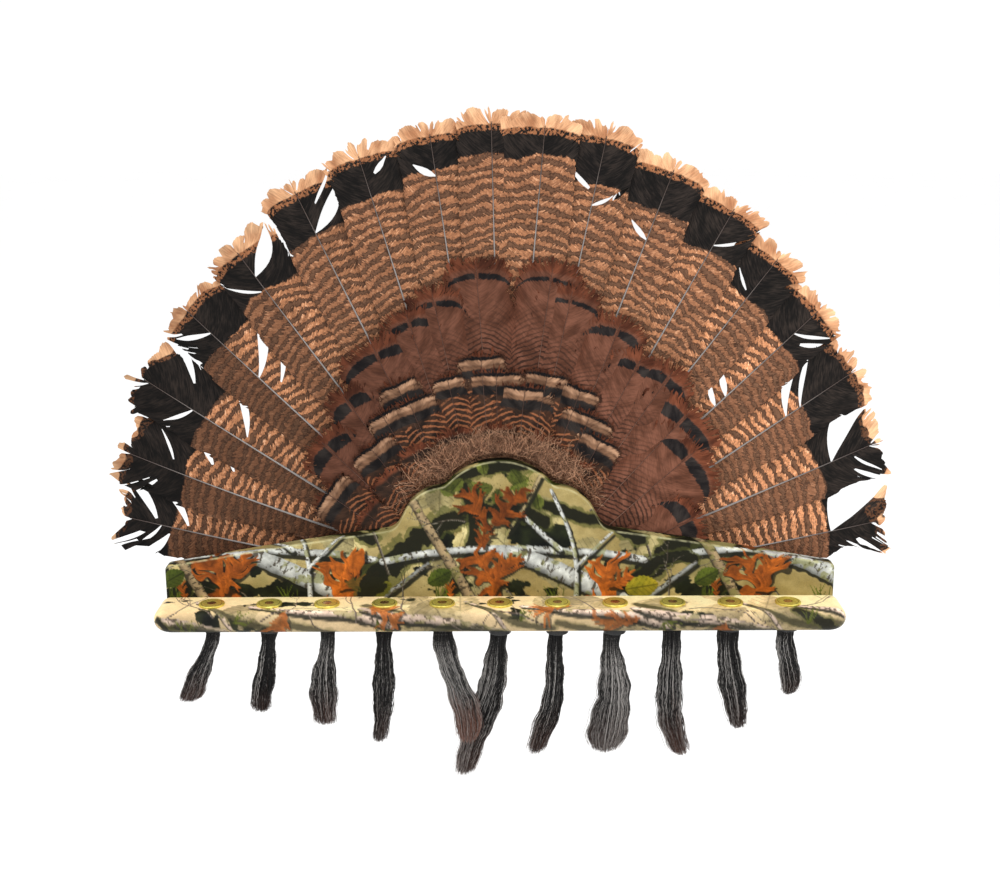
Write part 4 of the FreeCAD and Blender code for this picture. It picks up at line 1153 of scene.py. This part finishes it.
def feather(name, angle, tip, widths, layer, kind, material, shaft, node, seed, tone, band,
            ragged, sweep, waist=0.0, gaps=(), outer=0, shaft_r=(2.0, 0.35), worn=0.0):
    """One feather: its two half vanes and its shaft.  Widths are to the left and the right, and
    outer is the side that faces out from the fan's middle.  Layer is its depth, tone its
    brightness with painted light, band the size of its black band or stroke, and worn how far
    its tip is worn."""
    rng = np.random.default_rng(seed)
    length = tip - VANE_START
    sweep = sweep if angle < 0 else -sweep
    blocks, quads, first = [], [], 0
    values = {"vane": [], "barb": [], "past_band": [], "tone": [], "worn": []}
    for side, width in ((-1, widths[0]), (1, widths[1])):
        facing_out = side == outer
        own = [gap[1:] for gap in gaps if (gap[0] < 0) == facing_out]
        points, faces, number, along = kind.half(
            length, width, side, ragged, own, 0.25 * facing_out,
            waist if facing_out else min(waist, 0.09), rng)
        behind = points[:, 0] - kind.end_curve(points[:, 1], width)
        # inner is how near a covert's edge is, or how bold a tail feather's bars are
        inner = np.abs(points[:, 1]) / width
        # painted shade: the outer vanes at the left end are darkened, away from the light on the
        # right
        left_shade = 0.0
        if outer:
            bold = smooth((abs(angle) - 22) / 25)
            left_shade = LEFT_OUTER_SHADE * bold if facing_out and side < 0 else 0.0
            inner = np.full(len(points), 0.42 - 0.3 * bold if facing_out else 0.5 + 0.5 * bold)
        blocks.append(points)
        quads.append(faces + first)
        first += len(points)
        values["vane"].append(np.stack([behind, points[:, 1], inner], axis=1))
        values["barb"].append(np.stack([number + 500.0 * (side > 0), along,
                                        np.full(len(points), seed * 1.7)], axis=1))
        values["past_band"].append(behind - band)
        # each point's tone: the feather's painted light, with the left end's painted shade
        values["tone"].append(np.full(len(points), tone * (1 - left_shade)))
        values["worn"].append(np.full(len(points), worn))
    t, s, forward = np.concatenate(blocks).T
    depth = vane_depth(t, s, widths, outer, length, kind, seed) - forward
    placed = in_fan(angle, tip - t, s + sweep * (t / length) ** 2, layer + depth)

    # the shaft, from its quill to just short of the tip
    radius = np.linspace(QUILL_START, tip - kind.short, SHAFT_STEPS)
    behind = tip - radius
    aside = sweep * np.clip(behind / length, 0, 1.2) ** 2
    share = (behind - kind.short) / (tip - QUILL_START - kind.short)
    thick = shaft_r[1] + (shaft_r[0] - shaft_r[1]) * share ** 1.4
    lift = np.where(radius > VANE_START, 0.35 * thick + 0.25, 0.0)
    vane_there = vane_depth(np.minimum(behind, length), 0 * behind, widths, outer, length, kind,
                            seed)
    path = in_fan(angle, radius, aside, layer - lift + vane_there)
    tube, tube_quads = strands(path[None], thick[None], SHAFT_SIDES, rng)
    plain = np.zeros(len(tube))
    values["vane"].append(np.stack([np.repeat(behind, SHAFT_SIDES), plain, plain], axis=1))
    values["barb"].append(np.zeros((len(tube), 3)))
    values["past_band"].append(plain)
    values["tone"].append(plain + 1)
    values["worn"].append(plain)
    face_material = np.repeat([0, 1], [sum(len(part) for part in quads), len(tube_quads)])
    quads = np.concatenate([*quads, tube_quads + len(placed)])
    used, compact = np.unique(quads, return_inverse=True)
    attributes = {key: np.concatenate(parts)[used] for key, parts in values.items()}
    make_piece(name, np.concatenate([placed, tube])[used], compact.reshape(quads.shape),
               [material, shaft], "root", [node], attributes, face_material)


def vane_depth(t, s, widths, outer, length, kind, seed):
    """The gentle form of a vane out of its plane, backwards positive: the outer edge stands
    forward, both edges curl back a little, and the surface ripples."""
    width = np.where(s < 0, widths[0], widths[1])
    share = np.abs(s) / width
    tilt = -0.9 * share * np.where(np.sign(s) == outer, 1, -1) * (1 if outer else 0)
    curl = 0.5 * share ** 2
    ripple_depth = 0.5 * (value_noise(t / 26 + seed, s / 16 + 9, 5) - 0.5) * smooth(share * 3)
    puff = -kind.puff * smooth((length - t - 70) / 90) * (1 - 0.5 * share ** 2)
    return tilt + curl + ripple_depth + puff


def tail_feathers(material, shaft):
    """Nine pairs of tail feathers.  The middle pair is the foremost, and the right feather of
    each pair lies in front of the left one."""
    kind = Vane(end=11.0, power=2.9, fringe=12.0, clump=(3, 5, 8, 12, 17), pitch=1.05, segments=12,
                narrow=0.42, short=9.0, spill=1.8, pull=0.12, join=0.5, jitter=0.3, petal=2.2)
    for number, (left, right) in enumerate(zip(LEFT_FEATHERS, RIGHT_FEATHERS)):
        back = BACK_LAYER - 2 * LAYER_STEP * (len(LEFT_FEATHERS) - 1 - number)
        for side, name, entry in ((-1, "left", left), (1, "right", right)):
            angle, tip, band, ragged, sweep, waist, gaps = entry
            widths = (OUTER_VANE, INNER_VANE) if side < 0 else (INNER_VANE, OUTER_VANE)
            # the tone paints light from the right: brighter on the right, darker on the left
            feather(f"tail_feather_{name}_{number + 1}", side * angle, tip, widths,
                    back - (LAYER_STEP if side > 0 else 0), kind, material, shaft,
                    f"tail_feathers_{number + 1}", 40 + 2 * number + (side > 0),
                    1 + TAIL_LIGHT_SWING * side * math.sin(math.radians(angle)), band, ragged, sweep,
                    waist, gaps, side, worn=float(smooth((angle - WORN_FROM) / WORN_FROM)))


def coverts(shaft):
    """The greater, median and lesser coverts, each row in front of the one before."""
    rust = (paint(88, 54, 40), paint(112, 72, 56), paint(84, 45, 29))
    dark, black = paint(46, 35, 29), paint(26, 23, 24)
    soft_black = paint(52, 46, 43)
    hair = (paint(72, 38, 26), paint(112, 63, 43))
    greater = covert_material("greater_covert", rust, paint(58, 38, 30),
                              ((-9, 11, 2.0, *hair, 0.0),), black, soft_black, 4.6, 26, 90)
    median = covert_material("median_covert",
                             (dark, paint(74, 52, 40), paint(84, 50, 34)), paint(156, 98, 66),
                             ((-9, 2.6, 1.0, *hair, 0.0),
                              (9.5, 14.5, 1.6, paint(104, 74, 56), paint(146, 108, 82), 0.0),
                              (5.2, 10.0, 1.2, paint(140, 104, 80), paint(196, 152, 120), 0.0),
                              (2.6, 5.6, 0.4, black, black, 0.0),
                              (13.8, 22.5, 1.0, black, soft_black, 0.0)),
                             black, soft_black, 5.2, 24, 28)
    lesser = covert_material("lesser_covert", (dark, paint(66, 46, 36), paint(84, 50, 34)),
                             paint(138, 86, 58),
                             ((-9, 7, 2.0, *hair, 0.0), (7, 11, 1.2, dark, dark, 0.8)),
                             black, soft_black, 5.4, 10, 16)
    # each row's name, feathers, material, depth, middle brightness, painted light's rise to the
    # right, vane
    kinds = (("greater", GREATER, greater, -30.4, 0.89, 0.30,
              Vane(end=18.0, power=2.4, fringe=7.0, clump=(1, 2), segments=9, narrow=0.55,
                   short=7.0, puff=1.6, jitter=1.1)),
             ("median", MEDIAN, median, -32.1, 0.76, 0.12,
              Vane(end=8.0, power=3.4, fringe=4.0, clump=(1, 2), spill=0.8, puff=1.8,
                   jitter=0.9)),
             ("lesser", LESSER, lesser, -33.9, 0.95, 0.05,
              Vane(end=9.0, power=2.8, fringe=5.0, clump=(1, 2), segments=7, puff=1.0)))
    for row, entries, material, layer, middle_tone, light_swing, kind in kinds:
        farthest = max(entry[1] for entry in entries)
        for number, (angle, tip, half, *stroke) in enumerate(entries):
            seed = 100 * len(row) + number
            turn = np.random.default_rng(seed).normal(0, 0.6)
            # a shorter feather lies in front of a longer one
            forward = 0.03 * (farthest - tip) * (0.45 if row == "greater" else 1)
            # its tone: the row's brightness, with painted light rising to the right
            feather(f"{row}_covert_{number + 1:02d}", angle + turn, tip, (half, half),
                    layer - forward, kind, material, shaft,
                    row + "_coverts", seed, middle_tone + light_swing * math.sin(math.radians(angle)),
                    stroke[0] if stroke else 0, 0.8, 3 * turn, shaft_r=COVERT_SHAFT_R)


DOWN_HAIRS, DOWN_STEPS, DOWN_SIDES = 11000, 9, 2
DOWN_LAYER = -34.7              # just in front of the lesser coverts


def down_tuft():
    """Brown down at the roots of the coverts, which puffs over the board's crest."""
    rng = np.random.default_rng(9)
    fluff = strand_material("down_fluff", paint(94, 64, 47), paint(200, 150, 116),
                            paint(214, 168, 134), 0.5, 0.6)
    hairs, steps = DOWN_HAIRS, DOWN_STEPS
    # each hair's spoke of the fan, its start on it, its length, and its curling way from there
    angle = np.clip(rng.normal(-1, 17, hairs), -40, 35)
    start = rng.uniform(98, 158, hairs) - 14 * (np.abs(angle + 1) / 36) ** 2
    length = rng.uniform(8, 24, hairs)
    heading = rng.normal(0, 0.6, hairs)[:, None] + np.cumsum(
        rng.normal(0, 0.36, (hairs, steps)), axis=1)
    step = (length / steps)[:, None]
    radius = start[:, None] + np.cumsum(step * np.cos(heading), axis=1)
    side = np.cumsum(step * np.sin(heading), axis=1)
    turn = np.radians(angle)[:, None]
    x = FAN_X + radius * np.sin(turn) + side * np.cos(turn)
    z = FAN_Z + radius * np.cos(turn) - side * np.sin(turn)
    # it lies flat behind the board, and puffs forward where it is clear of the board's outline
    top = top_of_board()
    clear = smooth((z - np.interp(x, top[:, 0], top[:, 1]) - 1.0) / 6.0)
    puff = rng.uniform(0.2, 1, hairs)[:, None] * 9 * clear
    y = DOWN_LAYER - rng.uniform(0, 0.8, hairs)[:, None] - puff
    level = np.linspace(0, 1, steps)[None]
    radii = 0.19 * (1 - level * 0.6) * rng.uniform(0.7, 1.4, hairs)[:, None]
    points, faces = strands(np.stack([x, y, z], axis=-1), radii, DOWN_SIDES, rng)
    shade, warm = rng.uniform(0, 1, (hairs, 1)), rng.uniform(0, 1, (hairs, 1))
    make_piece("down_tuft_fluff", points, faces, [fluff], "root", ["down_tuft"],
               strand_values(shade, level, warm, DOWN_SIDES))


# ------------------------------------------------------------------ shells and beards

# Each beard as (height, middle sideways from the shell, half-width), from its hull down, then
# how far its tip leans back, how brown its tip is and how grey it is
BEARDS = (
    (((-33, 0, 6), (-52, -9, 7), (-71, -18, 10), (-86, -22, 11), (-92, -27, 7)), 0, 0.3, 0.5),
    (((-33, -2, 6), (-62, -6, 8), (-91, -12, 9), (-102, -11, 7)), 0, 0.2, 0.15),
    (((-33, 0, 5), (-62, -5, 10), (-91, -6, 12), (-115, -5, 9)), 0, 0.3, 0.6),
    (((-34, -2, 5), (-67, -2, 10), (-101, -4, 7), (-132, -8, 5)), 0, 0.2, 0.35),
    (((-34, 0, 9), (-62, 8, 10), (-91, 19, 12), (-111, 23, 10), (-128, 21, 8)), -11, 1.0, 1.05),
    (((-34, -2, 6), (-71, -5, 13), (-101, -14, 14), (-135, -25, 12), (-170, -34, 8)), 10,
     0.3, 0.75),
    (((-34, -2, 6), (-72, -2, 8), (-98, -4, 10), (-126, -14, 9), (-144, -20, 7)), 0, 0.3, 0.45),
    (((-34, -4, 7), (-60, -1, 11), (-85, 1, 15), (-112, -3, 19), (-128, -6, 17), (-143, -8, 10)), 0,
     0.2, 0.85),
    (((-35, 0, 8), (-73, -1, 10), (-113, 0, 12), (-146, 11, 6)), 0, 0.4, 0.65),
    (((-35, -2, 9), (-74, 4, 12), (-102, 9, 9), (-120, 11, 7)), 0, 0.2, 0.5),
    (((-35, -2, 7), (-59, 4, 9), (-78, 7, 9), (-87, 3, 4)), 0, 0.2, 0.5),
)


BEARD_STEPS, BEARD_SIDES = 30, 3
LEAST_HAIRS, HAIRS_PER_MM = 110, 46     # in a beard, for each mm of its greatest half-width


def shell_place(shell):
    """A shell's axis, from its brass head."""
    return np.mean(box_mm("brass_head_" + shell), axis=0)[:2]


def lathe(profile):
    """A shape turned about Z from (radius, height) pairs: points, quads, and each point's pair."""
    profile, segments = np.array(profile, float), 96
    turns = np.arange(segments) * 2 * math.pi / segments
    points = np.stack([profile[:, :1] * np.cos(turns), profile[:, :1] * np.sin(turns),
                       np.broadcast_to(profile[:, 1:], (len(profile), segments))], axis=-1)
    index = np.arange(len(profile) * segments).reshape(len(profile), segments)
    beyond = np.roll(index, -1, axis=1)
    faces = np.stack([index[:-1], beyond[:-1], beyond[1:], index[1:]], axis=-1)
    where = np.repeat(profile, segments, axis=0)
    return points.reshape(-1, 3), faces.reshape(-1, 4), where


def rounded(profile, radius, steps=3):
    """Rounds the corners of a profile."""
    profile = [np.array(p, float) for p in profile]
    out = [profile[0]]
    for before, corner, after in zip(profile[:-2], profile[1:-1], profile[2:]):
        into, onto = before - corner, after - corner
        cut = min(radius, np.hypot(*into) / 2.2, np.hypot(*onto) / 2.2)
        a = corner + into / np.hypot(*into) * cut
        b = corner + onto / np.hypot(*onto) * cut
        for t in np.linspace(0, 1, steps + 1):
            out.append((1 - t) ** 2 * a + 2 * t * (1 - t) * corner + t * t * b)
    return out + [profile[-1]]


def turned_piece(name, profile, shell, material, nodes, groove=None):
    """A piece turned about a shell's axis.  Groove gives its painted shade from radius and height.
    """
    points, faces, where = lathe(profile)
    points[:, :2] += shell_place(shell)
    dark = np.zeros(len(points)) if groove is None else groove(where)
    attributes = {"lathe": np.concatenate([where, np.zeros((len(where), 1))], axis=1),
                  "groove": dark}
    make_piece(name, points, faces, [material], "shell_" + shell, nodes, attributes)


def shells(brass, primer, hull_plastic):
    """The brass head with its rim, extractor groove and cup, its primer, and the ribbed hull."""
    for shell in SHELLS:
        low, high = box_mm("brass_head_" + shell)
        hull_low, _ = box_mm("hull_" + shell)
        rim_r, top, bottom = (high[0] - low[0]) / 2, high[2], low[2]
        # from the primer's pocket over the head, round the rim and its groove, and down the cup
        head = rounded([(3.75, top - 1.4), (3.75, top - 0.15), (4.15, top), (8.7, top),
                        (8.9, top - 0.14), (9.15, top - 0.14), (9.35, top), (rim_r - 0.45, top),
                        (rim_r, top - 0.45), (rim_r, 0.05), (rim_r - 0.2, 0.02), (9.7, 0.02),
                        (9.7, -1.0), (10.2, -1.5), (10.2, bottom + 0.3), (10.1, bottom),
                        (9.85, bottom)], 0.12)
        # the head gets painted shade in the primer's pocket and in its ring groove
        turned_piece("brass_cup_" + shell, head, shell, brass, ["brass_head_" + shell],
                     lambda where: smooth((where[:, 0] < 3.9) * 0.9
                                          + (np.abs(where[:, 0] - 9.02) < 0.22) * 0.7))
        cup = rounded([(3.74, top - 1.4), (3.70, top - 0.35), (3.35, top - 0.12),
                       (0.9, top - 0.12), (0.02, top - 0.16)], 0.3)
        turned_piece("primer_" + shell, cup, shell, primer, ["brass_head_" + shell])
        # the hull has fine ribs round it, from its mouth up
        mouth = hull_low[2]
        wall = [(8.2, mouth + 4), (8.9, mouth), (9.75, mouth + 0.2)]
        for level in np.arange(mouth + 0.8, bottom - 0.2, 0.8):
            wall += [(9.9, level), (9.9, level + 0.35), (9.78, level + 0.5), (9.78, level + 0.65)]
        turned_piece("hull_ribbed_" + shell, rounded(wall + [(9.9, bottom + 1)], 0.1, 2), shell,
                     hull_plastic, ["hull_" + shell])


def beards(hair):
    """Each beard as single hairs, which follow its outline and lie in wavy locks."""
    steps = BEARD_STEPS
    for number, (shell, (line, lean, brown, grey)) in enumerate(zip(SHELLS, BEARDS)):
        rng = np.random.default_rng(300 + number)
        x, y = shell_place(shell)
        mouth = box_mm("hull_" + shell)[0][2]
        # the beard's middle and half-width at even heights, smoothed
        spots = np.array([(mouth + 6, 0, 8.2), *line], float)
        level = np.linspace(0, 1, steps)
        height = spots[0, 0] + (spots[-1, 0] - spots[0, 0]) * level
        middle = np.interp(-height, -spots[:, 0], spots[:, 1])
        half = np.interp(-height, -spots[:, 0], spots[:, 2])
        for _ in range(6):
            middle[1:-1] = (middle[:-2] + 2 * middle[1:-1] + middle[2:]) / 4
            half[1:-1] = (half[:-2] + 2 * half[1:-1] + half[2:]) / 4
        # each hair's place in the beard's section, and how much of the length it has
        hairs = int(HAIRS_PER_MM * spots[:, 2].max() + LEAST_HAIRS)
        spin, out = rng.uniform(0, 2 * math.pi, hairs), np.sqrt(rng.uniform(0, 1, hairs))
        a, b = (out * np.cos(spin))[:, None], (out * np.sin(spin))[:, None]
        cut = 1 - np.abs(rng.normal(0, 0.035, hairs)) - 0.04 * out ** 3
        cut = np.where(rng.random(hairs) < 0.12, cut - rng.uniform(0.05, 0.3, hairs), cut)
        at = level[None] * np.clip(cut, 0.5, 1.0)[:, None]
        # locks of hair sway together, and each hair has its own crimp and drift
        lock = np.floor(out * np.cos(spin) * 4) + 9 * np.floor(out * np.sin(spin) * 2)
        down = -np.interp(at, level, height)
        sway = np.sin(lock[:, None] * 7.1 + number + down / 13) * 0.45
        crimp = np.sin(rng.uniform(0, 7, (hairs, 1)) + down / rng.uniform(0.8, 1.8, (hairs, 1)))
        crimp *= rng.uniform(0.1, 0.5, (hairs, 1)) * smooth(level[None] * 4)
        stray = rng.normal(0, 0.22, (hairs, steps)).cumsum(axis=1) * level[None]
        edge = 1 + 0.13 * np.sin(down / 5.5 + number) * np.sin(down / 13 + 2 * number)
        hx = x + np.interp(at, level, middle) + a * np.interp(at, level, half) * edge
        hx += sway * smooth(at * 3) + crimp + stray
        deep = np.interp(at, level, np.minimum(half, 5.0))
        hy = y + b * deep + lean * at
        hy += rng.normal(0, 0.2, (hairs, steps)).cumsum(axis=1) * at + crimp[:, ::-1] * 0.6
        # hairs thin out to their ends
        radii = (0.20 + 0.13 * rng.random(hairs))[:, None] * (1 - 0.5 * level[None] ** 3)
        points, faces = strands(np.stack([hx, hy, -down], axis=-1), radii, BEARD_SIDES, rng)
        # some hairs are pale, and all get painted shade towards the hull's mouth
        pale = (rng.random(hairs) < 0.08 + 0.3 * grey) * rng.uniform(0.4, 0.9, hairs)
        shade = np.clip(rng.beta(1.5, 3.0, hairs) * 0.85 + pale + 0.5 * (grey - 0.5), 0, 1)[:, None]
        shade = shade * (0.35 + 0.65 * smooth(level * 2.5))[None]
        warm = np.clip(brown * rng.uniform(0.2, 1.3, hairs), 0, 1)[:, None]
        make_piece("beard_hair_" + shell, points, faces, [hair], "shell_" + shell,
                   ["beard_" + shell], strand_values(shade, level, warm, BEARD_SIDES))


# ------------------------------------------------------------------ behind the board

def tail_root(skin):
    """The lumpy dried root of the tail, between the board and the clamp plate."""
    low, high = box_mm("tail_root")
    centre = np.array([FAN_X, (low[1] + high[1]) / 2, low[2]])
    mesh = bmesh.new()
    bmesh.ops.create_cube(mesh, size=1.0)
    bmesh.ops.subdivide_edges(mesh, edges=mesh.edges, cuts=40, use_grid_fill=True)
    half_width, depth, height = (high[0] - low[0]) / 2, high[1] - low[1], high[2] - low[2]
    for vertex in mesh.verts:
        # seen from the front the cube becomes a half-round, and its surface is lumpy
        u, v, w = vertex.co * 2
        across = u * math.sqrt(max(1 - ((w + 1) / 2) ** 2 * 0.98, 0.01))
        x, y, z = across * half_width, v * depth / 2, (w + 1) / 2 * height
        noise = float(cloud(np.array([x / 9 + 3 * v]), np.array([z / 9 + 5]), 61)[0]) - 0.62
        inset = min(1.0, (1 - abs(v)) * 3 + 0.2)
        x *= 1 + 0.05 * noise
        z *= 1 + 0.05 * noise
        y *= 0.985 - 0.02 * abs(noise) * inset
        vertex.co = Vector((centre[0] + x, centre[1] + y, centre[2] + z)) * MM
    data = bpy.data.meshes.new("tail_root_skin")
    mesh.to_mesh(data)
    mesh.free()
    data.materials.append(skin)
    data.polygons.foreach_set("use_smooth", np.ones(len(data.polygons), bool))
    finish_piece(bpy.data.objects.new("tail_root_skin", data), "root", ["tail_root"])


def coat(node, material):
    """Gives a CAD node a finish."""
    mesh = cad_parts[node].data
    mesh.materials.clear()
    mesh.materials.append(material)


def hardware():
    """Finishes for the plate, the blocks, the hangers and the screws, which show as in the CAD."""
    coat("clamp_plate", wood_material("birch_plywood", paint(214, 182, 138), paint(178, 138, 94),
                                      (6, 900, 45)))
    coat("spacer_blocks", wood_material("pine", paint(224, 190, 138), paint(190, 140, 86),
                                        (4, 60, 60)))
    coat("keyhole_plates", metal_material("zinc_plate", paint(190, 192, 196),
                                          paint(138, 142, 150), 0.28))
    steel = metal_material("screw_steel", paint(176, 168, 140), paint(120, 112, 92), 0.3)
    for node in ("clamp_screws", "shelf_screws", "block_screws", "keyhole_screws"):
        coat(node, steel)


# ------------------------------------------------------------------ studio

CAMERA_PLACE = (1.85, -1248.6, 439.6)
CAMERA_DOWN, CAMERA_ROLL, LENS = 14.0, 0.22, 51.12
SKY_STRENGTH = 1.03
# the floor and the lamps are in metres and watts: name, place, aim, size, power
FLOOR_Z, FLOOR_RADIUS = -0.36, 14.0
LAMPS = (("key", (1.1, -1.9, 1.9), (0, 0, 0.1), 1.0, 16),
         ("fill", (-1.4, -1.7, 1.0), (0, 0, 0.1), 1.4, 3),
         ("top", (0.0, -0.5, 2.2), (0, 0, 0.0), 1.0, 14))


def studio():
    """The camera, a white sky, a pale floor and three lamps."""
    camera = bpy.data.objects.new("camera", bpy.data.cameras.new("camera"))
    camera.location = Vector(CAMERA_PLACE) * MM
    camera.rotation_euler = (math.radians(90 - CAMERA_DOWN), math.radians(CAMERA_ROLL), 0)
    camera.data.lens = LENS
    camera.data.clip_end = 60
    bpy.context.scene.collection.objects.link(camera)
    bpy.context.scene.camera = camera

    world = bpy.data.worlds.new("studio")
    world.use_nodes = True
    sky = world.node_tree.nodes["Background"]
    sky.inputs["Color"].default_value = (1, 1, 1, 1)
    sky.inputs["Strength"].default_value = SKY_STRENGTH
    bpy.context.scene.world = world

    floor = bpy.data.meshes.new("floor")
    disc = bmesh.new()
    bmesh.ops.create_circle(disc, cap_ends=True, segments=96, radius=FLOOR_RADIUS)
    disc.to_mesh(floor)
    disc.free()
    g = Graph("pale_floor", Specular_IOR_Level=0.1)
    soft = g.noise(g.position(), 3.0, 2.0)
    colour = g.mix(soft, (0.96, 0.96, 0.96, 1), (0.99, 0.99, 0.99, 1))
    floor.materials.append(g.finish(colour, 0.8))
    ground = bpy.data.objects.new("floor", floor)
    ground.location.z = FLOOR_Z
    bpy.context.scene.collection.objects.link(ground)
    bpy.context.scene.view_settings.view_transform = "Standard"

    for name, place, aim, size, power in LAMPS:
        lamp = bpy.data.objects.new(name, bpy.data.lights.new(name, "AREA"))
        lamp.data.size, lamp.data.energy = size, power
        lamp.location = place
        lamp.rotation_euler = (Vector(aim) - Vector(place)).to_track_quat("-Z", "Y").to_euler()
        bpy.context.scene.collection.objects.link(lamp)


# ------------------------------------------------------------------ the display

film = camo_material()
camo_board(film)
camo_shelf(film)
shells(brass_material(), primer_material(), hull_material())
beards(strand_material("beard_hair", paint(22, 21, 21), paint(168, 164, 160),
                       paint(122, 80, 64), 0.6, 0.35))
tail_feathers(tail_feather_material(), shaft_material(
    "tail_shaft", paint(104, 98, 96), paint(166, 160, 156), paint(70, 56, 50)))
coverts(shaft_material("covert_shaft", paint(92, 62, 48), paint(132, 96, 78), paint(74, 48, 38)))
down_tuft()
tail_root(skin_material())
hardware()
studio()
